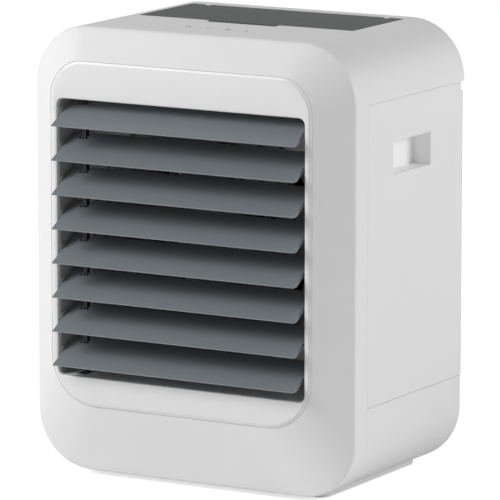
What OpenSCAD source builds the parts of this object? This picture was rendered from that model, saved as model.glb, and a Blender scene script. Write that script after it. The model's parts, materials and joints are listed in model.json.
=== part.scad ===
// Desktop evaporative air cooler: a bevelled front shell with eight tilting louvres, an axial fan
// behind them, a water tank under a hinged lid, and a rear cassette with the wet filter that slides
// out backwards.
// Frame: +Z up, +Y towards the back, +X to the right as seen from behind the louvres' front.
// The origin is the middle of the outer box on the surface that the feet stand on.
// Inside placed(), depths (Y) are counted from the bezel's face and heights (Z) from the
// underside of the body.

/* [Body] */
// Width of the body
body_w = 240; // [238:1:246]
// Height of the body, without the foot plate
body_h = 296; // [294:1:300]
// Depth from the bezel's face to the back
body_d = 167.5; // [166:0.5:172]
// Radius of the four long edges
corner_r = 39; // [36:1:39]
// Thickness of the moulded walls
wall = 2.5; // [2:0.1:2.8]

/* [Front] */
// Width of the bevel at each side
bevel_side = 22; // [21:0.5:23]
// Height of the bevel at the top
bevel_top = 20.5; // [20:0.5:22]
// Height of the chin under the bezel
chin_h = 47; // [45:0.5:48]
// Depth over which the bevel runs back
bevel_d = 18.7; // [17:0.1:20]
// Half width of the air outlet
outlet_x = 92.65; // [92:0.05:93]
// Lower edge of the air outlet
outlet_z0 = 66.6; // [65:0.1:68]
// Upper edge of the air outlet
outlet_z1 = 250.1; // [249.8:0.1:252]

/* [Louvres] */
// Number of louvres
louvre_count = 8; // [8:1:8]
// Distance from one louvre to the next
louvre_pitch = 22.66; // [22.5:0.02:22.8]
// Height of the top louvre's front edge
louvre_top_z = 233; // [232:0.1:234]
// Tilt of the louvres, front edge down
louvre_tilt = 27.5; // [25:0.5:30]
// Thickness of a louvre
louvre_t = 3; // [2.5:0.1:3]
// How far the front edges stand out of the bezel
louvre_out = 11; // [10:0.5:12]

/* [Fan] */
// Radius of the impeller
fan_r = 82; // [78:1:82]
// Number of fan blades
blade_count = 7; // [5:1:9]
// Pitch angle of a fan blade
blade_angle = 32; // [25:1:35]

/* [Top] */
// Half width of the tank's lid
lid_x = 81; // [80:0.5:81]
// Front edge of the lid
lid_y0 = 84.4; // [84:0.1:85]
// Rear edge of the lid
lid_y1 = 156; // [155.5:0.1:156]

/* [Rear] */
// Depth of the cassette's finger pockets
pocket_d = 13; // [10:0.5:13]
// Travel that frees the cassette
cassette_travel = 140; // [135:1:150]

/* [Hidden] */
$fn = 48;

foot_h = 3.6;                       // feet and foot plate under the body
plate_t = 3;                        // thickness of the foot plate
gap = 0.4;                          // seam between neighbouring shells
seam_y = 34;                        // where the front ring ends and the rear pieces begin
rim_x = body_w / 2 - bevel_side;    // half width of the bezel's hole in the shell
rim_z1 = body_h - bevel_top;
rim_r_top = 24;
rim_r_low = 33;
mid_y = (body_d - louvre_out) / 2;  // middle of the outer box, from the bezel's face

fan_z = (outlet_z0 + outlet_z1) / 2;
duct_y0 = 3.6;
duct_y1 = 40;
fan_y = 41;                         // front of the fan frame
hub_r = 30;
shaft_r = 2;

tip_r = 0.4;                        // rounding of a louvre's front edge
louvre_x = 90.3;                    // half length of a louvre
pivot_y = 6;                        // depth of the louvres' pivots
rear_y = 18.3;                      // depth of the louvres' rear rounding
crank_y = 15.3;                     // depth of the crank pins, in a notch in the louvres' rear edges
mid_slope = tan(louvre_tilt);
tip_mid_y = -louvre_out + tip_r + (louvre_t / 2 - tip_r) * sin(louvre_tilt);
tip_mid_z = tip_r - (louvre_t / 2 - tip_r) * cos(louvre_tilt);
pivot_dz = tip_mid_z + (pivot_y - tip_mid_y) * mid_slope;   // pivot above the louvre's underside
rear_dz = tip_mid_z + (rear_y - tip_mid_y) * mid_slope;
crank_dz = tip_mid_z + (crank_y - tip_mid_y) * mid_slope;
pin_r = 1.25;                       // pivot pins
crank_r = 1;                        // pins that the tie bar hangs on
tie_x = -80;
slot_y0 = 8;                        // the duct's slots that the tie bar dips through
slot_y1 = 22;

base_top = 59 - gap;
base_y1 = 163.4;
cassette_z0 = 59.2;
cassette_z1 = 256.1;
cassette_y1 = 165;
shelf_z = 256.6;                    // underside of the shelf that carries the tank
step_z = 250;                       // groove along the cassette's rear top edge
step_y = 161.5;
pocket = [[68.5, 119], [207, 228.5]];

hinge_y = lid_y1 - 2.5;             // axis of the lid's hinge
hinge_z = body_h - 2.5;
hinge_r = 2.5;
lid_r = 5;                          // rounding of the lid's rear corners
lug_x = [66.4, 70];
ledge_z = body_h - 5.4;             // ledge under the lid's hinge

key_x = [-22, -7, 8, 22];           // the four touch keys
key_y = 49.3;
nozzle_x = 40;
nozzle_y = 134;

// ---- outlines and small helpers ----
function arc(cx, cy, r, a0, n) = [for (i = [0:n]) let (a = a0 + 90 * i / n)
    [cx + r * cos(a), cy + r * sin(a)]];
function outline(x, z0, z1, r_top, r_low, n = 10) = concat(
    arc(x - r_top, z1 - r_top, r_top, 0, n),
    arc(-x + r_top, z1 - r_top, r_top, 90, n),
    arc(-x + r_low, z0 + r_low, r_low, 180, n),
    arc(x - r_low, z0 + r_low, r_low, 270, n));
function body_outline(inset) = outline(body_w / 2 - inset, inset, body_h - inset,
    corner_r - inset, corner_r - inset);
function louvre_z(i) = louvre_top_z - (i - 1) * louvre_pitch;

module placed() { translate([0, -mid_y, foot_h]) children(); }
module upright(points, y0, y1) {
    translate([0, y1, 0]) rotate([90, 0, 0]) linear_extrude(y1 - y0) polygon(points);
}
module flat(points, z0, z1) {
    translate([0, 0, z0]) linear_extrude(z1 - z0) polygon(points);
}
module box(x0, x1, y0, y1, z0, z1) {
    translate([x0, y0, z0]) cube([x1 - x0, y1 - y0, z1 - z0]);
}
module rod_x(x0, x1, y, z, r) {
    translate([x0, y, z]) rotate([0, 90, 0]) cylinder(h = x1 - x0, r = r);
}
module rod_y(x, y0, y1, z, r) {
    translate([x, y1, z]) rotate([90, 0, 0]) cylinder(h = y1 - y0, r = r);
}
module rod_z(x, y, z0, z1, r) {
    translate([x, y, z0]) cylinder(h = z1 - z0, r = r);
}
module both_sides() {
    children();
    mirror([1, 0, 0]) children();
}

// ---- shells ----
module bevel(inset, y0, y1) {
    hull() {
        upright(outline(rim_x - inset * 0.63, chin_h + inset * 0.4, rim_z1 - inset * 0.63,
            rim_r_top, rim_r_low), y0, y0 + 0.01);
        upright(body_outline(inset), y1 - 0.01, y1);
    }
}

module bulkhead_points() {
    for (z = [70, 226]) translate([108, 0, z]) children();
}

module main_shell() {
    color("whitesmoke") placed() difference() {
        union() {
            difference() {
                union() {
                    bevel(0, 1, bevel_d);
                    upright(body_outline(0), bevel_d - 0.005, seam_y);
                    intersection() {
                        upright(body_outline(0), seam_y - 1, body_d);
                        box(-body_w, body_w, 0, 2 * body_d, shelf_z, 2 * body_h);
                    }
                }
                bevel(wall, 3, bevel_d + 1.2);
                upright(body_outline(wall), bevel_d + 1.19, seam_y + 1);
                intersection() {
                    upright(body_outline(wall), seam_y, body_d - wall);
                    box(-body_w, body_w, 0, 2 * body_d, shelf_z + wall, 2 * body_h);
                }
                upright(outline(rim_x, chin_h, rim_z1, rim_r_top, rim_r_low), -1, 6);
            }
            box(-29, 29, 75.4, 84.3, body_h - 11, body_h - 1);
            box(-lid_x - 3, lid_x + 3, lid_y1 - 5.6, lid_y1 + 2, ledge_z - 2, ledge_z);
            box(-lid_x - 3, lid_x + 3, lid_y1 + 0.8, lid_y1 + 3, ledge_z - 2, body_h - 1);
            both_sides() {
                rod_x(lug_x[0], lug_x[1], hinge_y, hinge_z, hinge_r - 0.1);
                box(lug_x[0], lug_x[1], hinge_y, lid_y1 + 1, ledge_z - 1, body_h - 0.1);
                bulkhead_points() {
                    rod_y(0, 21, 31.2, 0, 4);
                    box(3, 11, 21, 31.2, -1, 1);
                }
            }
            for (x = [-36, 36], y = [39, 59]) rod_z(x, y, body_h - 10.4, body_h - 1, 3);
        }
        difference() {
            box(-lid_x - 0.5, lid_x + 0.5, lid_y0 - 0.5, lid_y1 + 0.8, ledge_z, body_h + 1);
            both_sides() box(lug_x[0], lug_x[1], hinge_y, lid_y1 + 3, body_h - 9, body_h + 2);
        }
        box(-27, 27, 77.4, 84.4, body_h - 9, body_h + 1);
        rod_x(-90, 90, hinge_y, hinge_z, 1.25);
        both_sides() bulkhead_points() rod_y(0, 22, 32, 0, 1.4);
        for (x = [-36, 36], y = [39, 59]) rod_z(x, y, body_h - 11, body_h - 4, 1.2);
        for (x = [-nozzle_x, nozzle_x]) rod_z(x, nozzle_y, shelf_z - 1, shelf_z + 4, 4.4);
    }
}

module bezel() {
    color("white") placed() difference() {
        union() {
            upright(outline(rim_x - 0.2, chin_h + 0.2, rim_z1 - 0.2, rim_r_top, rim_r_low), 1, 3.5);
            upright(outline(rim_x - 2, chin_h + 2, rim_z1 - 2, rim_r_top - 2, rim_r_low - 2), 0, 2);
        }
        upright(outline(outlet_x, outlet_z0, outlet_z1, 4.5, 4.5, 5), -1, 5);
    }
}

module bulkhead() {
    color("gainsboro") placed() difference() {
        upright(body_outline(wall + 0.3), 31.3, 33.8);
        upright(outline(outlet_x + 2.3, outlet_z0 - 2.3, outlet_z1 + 2.3, 6, 6, 5), 31, 35);
        both_sides() bulkhead_points() rod_y(0, 31, 35, 0, 1.7);
        box(95.5, 104.5, 31, 35, 34, 44);
        box(-54, 54, 31, 35, 262, 290);
    }
}

module base_shell() {
    color("whitesmoke") placed() difference() {
        union() {
            difference() {
                upright(body_outline(0), seam_y + gap, base_y1);
                upright(body_outline(wall), seam_y, base_y1 - wall);
                box(-body_w, body_w, 0, 2 * body_d, base_top, 2 * body_h);
            }
            foot_screw_points() rod_z(0, 0, 1, 10, 4);
            for (x = [-56, 16], y = [49, 81]) rod_z(x, y, 1, 12, 3);
        }
        foot_screw_points() rod_z(0, 0, -1, 8, 1.6);
        for (x = [-56, 16], y = [49, 81]) rod_z(x, y, 6, 13, 1.2);
        rod_y(102, 158, base_y1 + 1, 28, 4.2);
    }
}

module foot_screw_points() {
    for (x = [-70, 70], y = [50, 145]) translate([x, y, 0]) children();
}
module foot_points() {
    for (x = [-78, 78], y = [44, 150]) translate([x, y, 0]) children();
}

module foot_plate() {
    plan = concat(arc(81.5, 152, 8, 0, 6), arc(-81.5, 152, 8, 90, 6),
        arc(-81.5, 42, 8, 180, 6), arc(81.5, 42, 8, 270, 6));
    color("gainsboro") placed() difference() {
        flat(plan, -plate_t, 0);
        foot_screw_points() {
            rod_z(0, 0, -4, 1, 1.6);
            rod_z(0, 0, -4, -1.2, 3.2);
        }
        foot_points() rod_z(0, 0, -4, -1.4, 6.1);
    }
}

module rubber_feet() {
    color("dimgray") placed() foot_points() rod_z(0, 0, -foot_h, -1.4, 6);
}

// ---- air outlet and louvres ----
module tie_slot(z) { box(tie_x - 3.5, tie_x + 3.5, slot_y0, slot_y1, z - 3, z + 3); }

module air_duct() {
    color("dimgray") placed() difference() {
        union() {
            upright(outline(outlet_x + 2, outlet_z0 - 2, outlet_z1 + 2, 6, 6, 5), duct_y0, duct_y1);
            box(-100, 100, duct_y1 - 2.5, duct_y1, outlet_z0 - 6, outlet_z1 + 4);
        }
        upright(outline(outlet_x, outlet_z0, outlet_z1, 4.5, 4.5, 5), duct_y0 - 1, duct_y1 - 2.5);
        rod_y(0, 30, 50, fan_z, fan_r + 3);
        for (i = [1:louvre_count]) rod_x(-100, 100, pivot_y, louvre_z(i) + pivot_dz, 2.45);
        tie_slot(outlet_z0);
        tie_slot(outlet_z1);
        fan_screw_points() rod_y(0, 30, 50, 0, 1.7);
    }
}

module louvre_bushes() {
    color("white") placed() both_sides() for (i = [1:louvre_count]) difference() {
        union() {
            rod_x(outlet_x - 1.4, outlet_x, pivot_y, louvre_z(i) + pivot_dz, 3.2);
            rod_x(outlet_x - 0.5, outlet_x + 2.6, pivot_y, louvre_z(i) + pivot_dz, 2.4);
        }
        rod_x(outlet_x - 3, outlet_x + 4, pivot_y, louvre_z(i) + pivot_dz, pin_r + 0.05);
    }
}

// Section of a louvre: a parallel blade whose front is cut level and whose rear is round.
function louvre_section() = let (
        n = [-sin(louvre_tilt), cos(louvre_tilt)],
        tip = [-louvre_out + tip_r, tip_r],
        rear = [rear_y, rear_dz],
        half = louvre_t / 2,
        low_y = tip[0] + (louvre_t - tip_r) * sin(louvre_tilt)
            + ((louvre_t - tip_r) * cos(louvre_tilt) - tip_r) / mid_slope
    ) concat(
        [for (a = [270, 225, 180, 150, louvre_tilt + 90]) tip + tip_r * [cos(a), sin(a)]],
        [for (i = [0:8]) let (a = louvre_tilt + 90 - i * 180 / 8)
            rear + half * [cos(a), sin(a)]],
        [[low_y, 0]]);

module louvre(i) {
    zb = louvre_z(i);
    color("slategray") placed() {
        difference() {
            translate([-louvre_x, 0, zb]) rotate([90, 0, 90])
                linear_extrude(2 * louvre_x) polygon(louvre_section());
            box(tie_x - 3.5, tie_x + 3.5, crank_y - 3.8, 30, zb, zb + 30);
        }
        rod_x(louvre_x - 1, outlet_x + 2, pivot_y, zb + pivot_dz, pin_r);
        rod_x(-outlet_x - 2, -louvre_x + 1, pivot_y, zb + pivot_dz, pin_r);
        rod_x(tie_x - 4.5, tie_x + 4.5, crank_y, zb + crank_dz, crank_r);
    }
}

module louvre_tie_bar() {
    top = louvre_z(1) + crank_dz;
    low = louvre_z(louvre_count) + crank_dz;
    color("dimgray") placed() difference() {
        union() {
            rod_x(tie_x - 1.5, tie_x + 1.5, crank_y, top, 2);
            box(tie_x - 1.5, tie_x + 1.5, crank_y - 2, crank_y + 2, low - 25, top);
        }
        for (i = [1:louvre_count])
            rod_x(tie_x - 5, tie_x + 5, crank_y, louvre_z(i) + crank_dz,
                crank_r + (i == 1 ? 0.05 : 0.15));
    }
}

// ---- fan ----
module fan_screw_points() {
    for (x = [-88, 88], z = [-84, 84]) translate([x, 0, fan_z + z]) children();
}

module fan_frame() {
    color("dimgray") placed() difference() {
        union() {
            box(-94, 94, fan_y, fan_y + 3, fan_z - 91, fan_z + 91);
            rod_y(0, fan_y, fan_y + 31, fan_z, fan_r + 5.5);
        }
        difference() {
            rod_y(0, fan_y - 1, fan_y + 32, fan_z, fan_r + 3);
            rod_y(0, fan_y + 28, fan_y + 31, fan_z, 28);
            for (a = [0, 90]) translate([0, 0, fan_z]) rotate([0, a + 45, 0])
                box(-fan_r - 4, fan_r + 4, fan_y + 28, fan_y + 31, -3.5, 3.5);
        }
        fan_screw_points() rod_y(0, fan_y - 1, fan_y + 4, 0, 1.7);
        rod_y(0, fan_y + 25, fan_y + 35, fan_z, 3);
    }
}

module fan_guard() {
    color("gray") placed() {
        for (r = [16:14:86]) translate([0, 35.4, fan_z]) rotate([90, 0, 0])
            rotate_extrude() translate([r, 0]) circle(r = 1, $fn = 16);
        for (a = [0, 90]) translate([0, 35.9, fan_z]) rotate([0, a, 0])
            translate([-87, 0, 0]) rotate([0, 90, 0]) cylinder(h = 174, r = 1.2, $fn = 16);
    }
}

module fan_stator() {
    color("darkgoldenrod") placed() difference() {
        rod_y(0, fan_y + 9, fan_y + 28, fan_z, 24);
        rod_y(0, fan_y + 8, fan_y + 29, fan_z, 5.02);
    }
}

module fan_bearings() {
    color("silver") placed() for (y = [fan_y + 10, fan_y + 22]) difference() {
        rod_y(0, y, y + 4, fan_z, 5);
        rod_y(0, y - 1, y + 5, fan_z, shaft_r + 0.05);
    }
}

module impeller() {
    color("darkgray") placed() {
        difference() {
            rod_y(0, fan_y + 4, fan_y + 24, fan_z, hub_r);
            rod_y(0, fan_y + 6.5, fan_y + 25, fan_z, hub_r - 2.5);
            rod_y(0, fan_y, fan_y + 10, fan_z, shaft_r);
        }
        intersection() {
            difference() {
                rod_y(0, fan_y + 4, fan_y + 22, fan_z, fan_r);
                rod_y(0, fan_y + 3, fan_y + 25, fan_z, hub_r - 0.6);
            }
            for (i = [0:blade_count - 1]) translate([0, fan_y + 13, fan_z])
                rotate([0, i * 360 / blade_count, 0]) rotate([blade_angle, 0, 0])
                    translate([hub_r - 4, -1, -25]) cube([fan_r, 2, 50]);
        }
    }
}

module fan_shaft() { color("silver") placed() rod_y(0, fan_y + 4, fan_y + 29, fan_z, shaft_r); }

// ---- tank and lid ----
function lid_outline() = concat(
    arc(lid_x - lid_r, lid_y1 - lid_r, lid_r, 0, 6),
    arc(-lid_x + lid_r, lid_y1 - lid_r, lid_r, 90, 6),
    [[-lid_x, lid_y0], [lid_x, lid_y0]]);

module water_tank() {
    color("lightblue") placed() difference() {
        box(-79, 79, 86.4, 149.5, shelf_z + 2.7, hinge_z - 0.3);
        box(-77, 77, 88.4, 147.5, shelf_z + 4.7, body_h);
        for (x = [-nozzle_x, nozzle_x]) rod_z(x, nozzle_y, shelf_z, shelf_z + 6, 3);
    }
}

module drip_nozzles() {
    color("white") placed() for (x = [-nozzle_x, nozzle_x]) difference() {
        union() {
            rod_z(x, nozzle_y, shelf_z - 3.2, shelf_z + 5, 2.9);
            rod_z(x, nozzle_y, shelf_z + 4.75, shelf_z + 6.2, 6);
        }
        rod_z(x, nozzle_y, shelf_z - 5, shelf_z + 8, 0.8);
    }
}

module top_lid() {
    knuckle = 4.4;
    color("dimgray") placed() difference() {
        union() {
            intersection() {
                flat(lid_outline(), hinge_z, body_h);
                union() {
                    box(-100, 100, 0, hinge_y, 0, 2 * body_h);
                    rod_x(-100, 100, hinge_y, hinge_z, hinge_r);
                }
            }
            rod_x(-73.8, 73.8, hinge_y, hinge_z, hinge_r);
        }
        both_sides() box(lug_x[0] - 0.4, lug_x[0] - 0.4 + knuckle, hinge_y - 3, body_d,
            hinge_z - 5, body_h + 1);
        both_sides() rod_x(61.9, 73.2, hinge_y, hinge_z, 1.2);
    }
}

module lid_pins() {
    color("silver") placed() both_sides() rod_x(62, 73.2, hinge_y, hinge_z, 1.19);
}

module lid_gasket() {
    color("white") placed() difference() {
        box(-76.6, 76.6, 88.8, 147.1, hinge_z - 3.6, hinge_z);
        box(-74.6, 74.6, 90.8, 145.1, hinge_z - 5, body_h);
    }
}

// ---- rear cassette ----
module cassette_plan(inset) {
    x = body_w / 2 - inset;
    y1 = cassette_y1 - inset;
    r = max(1.5 - inset, 0.4);
    polygon(concat([[-x, seam_y + gap - inset], [x, seam_y + gap - inset]],
        arc(x - r, y1 - r, r, 0, 4), arc(-x + r, y1 - r, r, 90, 4)));
}

module rear_cassette() {
    color("whitesmoke") placed() difference() {
        union() {
            translate([0, 0, cassette_z0]) linear_extrude(cassette_z1 - cassette_z0)
                difference() {
                    cassette_plan(0);
                    cassette_plan(wall);
                }
            box(-118, 118, step_y - wall, cassette_y1 - 1, step_z - wall, cassette_z1);
            both_sides() {
                box(body_w / 2 - pocket_d - 2, body_w / 2 - 1, pocket[0][0] - 2, pocket[0][1] + 2,
                    pocket[1][0] - 2, pocket[1][1] + 2);
                box(104.5, 118, 40, 160, 61, 63);
                for (z = [66, 236]) box(90, 98, 150.2, 163, z, z + 6);
            }
        }
        box(-body_w, body_w, step_y, 2 * body_d, step_z, body_h);
        both_sides() box(body_w / 2 - pocket_d, body_w, pocket[0][0], pocket[0][1],
            pocket[1][0], pocket[1][1]);
        for (row = [0:16], x = [-84, -27, 30])
            box(x, x + 54, 158, 170, 82 + row * 9, 86.5 + row * 9);
    }
}

module filter_frame() {
    color("gainsboro") placed() difference() {
        box(-100, 100, 118, 150, 64, 244);
        box(-97.5, 97.5, 120, 148, 66.5, 241.5);
        for (x = [-94, -30, 34]) box(x, x + 60, 110, 160, 70, 238);
    }
}

module filter_pad() { color("tan") placed() box(-97, 97, 120.4, 147.6, 67, 241); }

module dust_screen() {
    color("gray") placed() union() {
        difference() {
            box(-88, 88, 159.5, 161.8, 76, 240);
            box(-84, 84, 158, 163, 80, 236);
        }
        box(-85, 85, 160.2, 160.8, 79, 237);
    }
}

module drip_tray() {
    color("white") placed() difference() {
        box(-98, 98, 120, 148, 244.2, 252);
        box(-96.4, 96.4, 121.6, 146.4, 245.8, 254);
        for (x = [-88:16:88], y = [128, 140]) rod_z(x, y, 243, 247, 1.2);
    }
}

module cassette_rails() {
    color("gainsboro") placed() both_sides() {
        box(105, 117.2, 42, 156, 58.9, 60.7);
        box(105, 107, 42, 156, 52, 60);
    }
}

module sump_tray() {
    color("gainsboro") placed() difference() {
        box(-100, 86, 96, 156, 26, 57);
        box(-98, 84, 98, 154, 28, 60);
    }
}

// ---- electrics ----
module control_board() {
    color("darkgreen") placed() difference() {
        union() {
            box(-41, 41, 35.5, 62.5, body_h - 12.1, body_h - 10.5);
            box(-20, -8, 52, 60, body_h - 14, body_h - 12);
            box(10, 26, 53, 60, body_h - 15, body_h - 12);
        }
        for (x = [-36, 36], y = [39, 59]) rod_z(x, y, body_h - 14, body_h - 9, 1.5);
    }
}

module touch_springs() {
    color("silver") placed() for (x = key_x) difference() {
        rod_z(x, key_y, body_h - 10.4, body_h - wall - 0.1, 4);
        rod_z(x, key_y, body_h - 12, body_h, 3.4);
    }
}

module main_board() {
    color("darkgreen") placed() difference() {
        union() {
            box(-61, 21, 44, 86, 12.1, 13.7);
            for (x = [-44, -30, -16]) rod_z(x, 74, 13, 26, 4);
            box(-50, -30, 50, 64, 13, 24);
            box(-10, 12, 52, 66, 13, 20);
        }
        for (x = [-56, 16], y = [49, 81]) rod_z(x, y, 11, 15, 1.5);
    }
}

module dc_inlet() {
    color("black") placed() {
        difference() {
            union() {
                box(95, 109, 144, base_y1 - wall - 0.1, 21, 35);
                rod_y(102, 150, base_y1, 28, 4.1);
            }
            rod_y(102, 150, base_y1 + 1, 28, 3.1);
        }
        rod_y(102, 149, base_y1 - 1, 28, 1);
    }
}

module ribbon_cable() {
    color("lightgray") placed() union() {
        box(20, 104, 22, 29, 283.1, 283.9);
        box(20, 28, 22, 44, 283.1, 283.9);
        box(97, 104, 22, 22.8, 38, 283.5);
        box(97, 104, 22, 70, 38, 38.8);
        box(0, 104, 63, 70, 38, 38.8);
        box(0, 0.8, 63, 70, 21, 38.4);
    }
}

// ---- fasteners ----
module screw(head_r, head_t, shank_r, length) {
    rotate([90, 0, 0]) {
        cylinder(h = length, r = shank_r);
        translate([0, 0, -head_t]) cylinder(h = head_t + 0.01, r = head_r);
    }
}

module bulkhead_screws() {
    color("silver") placed() both_sides() bulkhead_points()
        translate([0, 33.85, 0]) screw(3.2, 1.8, 1.35, 10);
}
module fan_screws() {
    color("silver") placed() fan_screw_points()
        translate([0, fan_y + 3.05, 0]) screw(3.2, 1.8, 1.6, 8);
}
module board_screws() {
    color("silver") placed() {
        for (x = [-36, 36], y = [39, 59]) translate([x, y, body_h - 12.15])
            rotate([90, 0, 0]) mirror([0, 1, 0]) rotate([0, 0, 0]) screw(2.4, 1.4, 1.1, 6);
        for (x = [-56, 16], y = [49, 81]) translate([x, y, 13.75])
            rotate([90, 0, 0]) screw(2.4, 1.4, 1.1, 6);
    }
}
module foot_screws() {
    color("silver") placed() foot_screw_points() {
        rod_z(0, 0, -2.9, -1.25, 3);
        rod_z(0, 0, -1.3, 7, 1.5);
    }
}

main_shell();
bezel();
air_duct();
louvre_bushes();
bulkhead();
fan_frame();
fan_guard();
fan_stator();
fan_bearings();
impeller();
fan_shaft();
louvre(1);  // louvre_1
louvre(2);  // louvre_2
louvre(3);  // louvre_3
louvre(4);  // louvre_4
louvre(5);  // louvre_5
louvre(6);  // louvre_6
louvre(7);  // louvre_7
louvre(8);  // louvre_8
louvre_tie_bar();
base_shell();
foot_plate();
rubber_feet();
cassette_rails();
sump_tray();
water_tank();
drip_nozzles();
top_lid();
lid_gasket();
lid_pins();
rear_cassette();
filter_frame();
filter_pad();
dust_screen();
drip_tray();
control_board();
touch_springs();
main_board();
dc_inlet();
ribbon_cable();
bulkhead_screws();
fan_screws();
board_screws();
foot_screws();
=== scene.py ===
"""Looks of a desktop evaporative air cooler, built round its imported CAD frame.

Pieces are drawn in millimetres, with Y counted from the bezel's face and Z from the underside of the
body, and TO_FRAME puts them in the frame.
"""

import json
import math

import bmesh
import bpy
from mathutils import Matrix, Vector

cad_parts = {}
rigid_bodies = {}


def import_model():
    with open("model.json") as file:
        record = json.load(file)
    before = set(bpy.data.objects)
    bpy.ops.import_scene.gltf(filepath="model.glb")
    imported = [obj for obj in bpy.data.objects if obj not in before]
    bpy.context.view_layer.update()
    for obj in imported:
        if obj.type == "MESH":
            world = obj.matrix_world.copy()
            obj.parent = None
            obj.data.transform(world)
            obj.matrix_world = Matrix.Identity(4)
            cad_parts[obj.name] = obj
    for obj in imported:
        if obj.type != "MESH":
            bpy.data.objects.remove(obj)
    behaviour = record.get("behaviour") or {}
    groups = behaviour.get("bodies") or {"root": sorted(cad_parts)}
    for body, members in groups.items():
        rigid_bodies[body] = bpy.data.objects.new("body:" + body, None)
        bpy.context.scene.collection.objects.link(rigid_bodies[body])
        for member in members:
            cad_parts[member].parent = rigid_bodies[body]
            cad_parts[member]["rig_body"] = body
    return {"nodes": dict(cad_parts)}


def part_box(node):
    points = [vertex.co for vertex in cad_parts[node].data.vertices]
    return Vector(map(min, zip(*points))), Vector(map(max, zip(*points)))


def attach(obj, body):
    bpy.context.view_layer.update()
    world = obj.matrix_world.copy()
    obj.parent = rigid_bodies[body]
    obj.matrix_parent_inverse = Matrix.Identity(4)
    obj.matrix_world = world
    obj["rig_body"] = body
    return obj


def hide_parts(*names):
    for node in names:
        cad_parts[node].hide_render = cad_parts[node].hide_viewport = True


bl_info = {
    "name": "Evaporative air cooler",
    "version": (1, 0, 0),
    "blender": (4, 5, 0),
    "location": "View3D > Sidebar > Cooler",
    "description": "Shells, louvres, fan, filter and finishes of a desktop evaporative air cooler",
    "category": "Add Mesh",
}

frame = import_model()
NODES = frame["nodes"]
MM = 0.001
FACE_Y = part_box("bezel")[0].y
UNDERSIDE_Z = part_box("main_shell")[0].z
TO_FRAME = Matrix.Translation((0, FACE_Y, UNDERSIDE_Z)) @ Matrix.Scale(MM, 4)
TO_LOCAL = TO_FRAME.inverted()
LOUVRES = sorted(name for name in NODES if name.startswith("louvre_") and name[-1].isdigit())


def local_box(node):
    """Lowest and highest corner of a CAD node, in millimetres."""
    low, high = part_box(node)
    return TO_LOCAL @ low, TO_LOCAL @ high


SHELL_LOW, SHELL_HIGH = local_box("main_shell")
BASE_LOW, BASE_HIGH = local_box("base_shell")
LID_LOW, LID_HIGH = local_box("top_lid")
CASSETTE_LOW, CASSETTE_HIGH = local_box("rear_cassette")


# ---- sizes and colours ----
def length(name, text, millimetres):
    return bpy.props.FloatProperty(
        name=name, description=text, default=millimetres * MM, unit="LENGTH", precision=5
    )


def tint(name, text, value):
    return bpy.props.FloatVectorProperty(
        name=name, description=text, default=value, size=3, min=0, max=1, subtype="COLOR"
    )


def strength(name, text, value):
    return bpy.props.FloatProperty(name=name, description=text, default=value, min=0)


class CoolerSizes(bpy.types.PropertyGroup):
    """Sizes of the shells. Outer sizes come from the frame."""

    width: length("Width", "Width of the body", SHELL_HIGH.x - SHELL_LOW.x)
    height: length("Height", "Height of the body without its feet", SHELL_HIGH.z - SHELL_LOW.z)
    depth: length("Depth", "Depth of the top deck from the bezel's face", SHELL_HIGH.y)
    corner: length("Corner radius", "Radius of the body's long edges", 39)
    wall: length("Wall", "Thickness of the moulded walls", 2.5)
    bevel_side: length("Side bevel", "Width of the front bevel at each side", 22)
    bevel_top: length("Top bevel", "Height of the front bevel at the top", 20.5)
    chin: length("Chin", "Height of the bevel under the bezel", 47)
    bevel_depth: length("Bevel depth", "Depth at which the bevel meets the sides", 18.7)
    rim_top: length("Upper rim radius", "Radius of the rim's upper corners", 24)
    rim_low: length("Lower rim radius", "Radius of the rim's lower corners", 33)
    seam: length("Seam", "Depth at which the front ring ends", 34.25)
    edge: length("Edge rounding", "Rounding where the bevel meets the sides", 1.8)
    rear_edge: length("Rear rounding", "Rounding of the top deck's rear edge", 2)
    base_edge: length("Base rounding", "Rounding of the base's rear edge", 0.8)
    break_edge: length("Broken edge", "Rounding of the small moulded edges", 0.3)
    hub: length("Hub", "Radius of the fan's hub", 30)
    mark: length("Mark", "Radius of the touch marks", 1.9)


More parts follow.
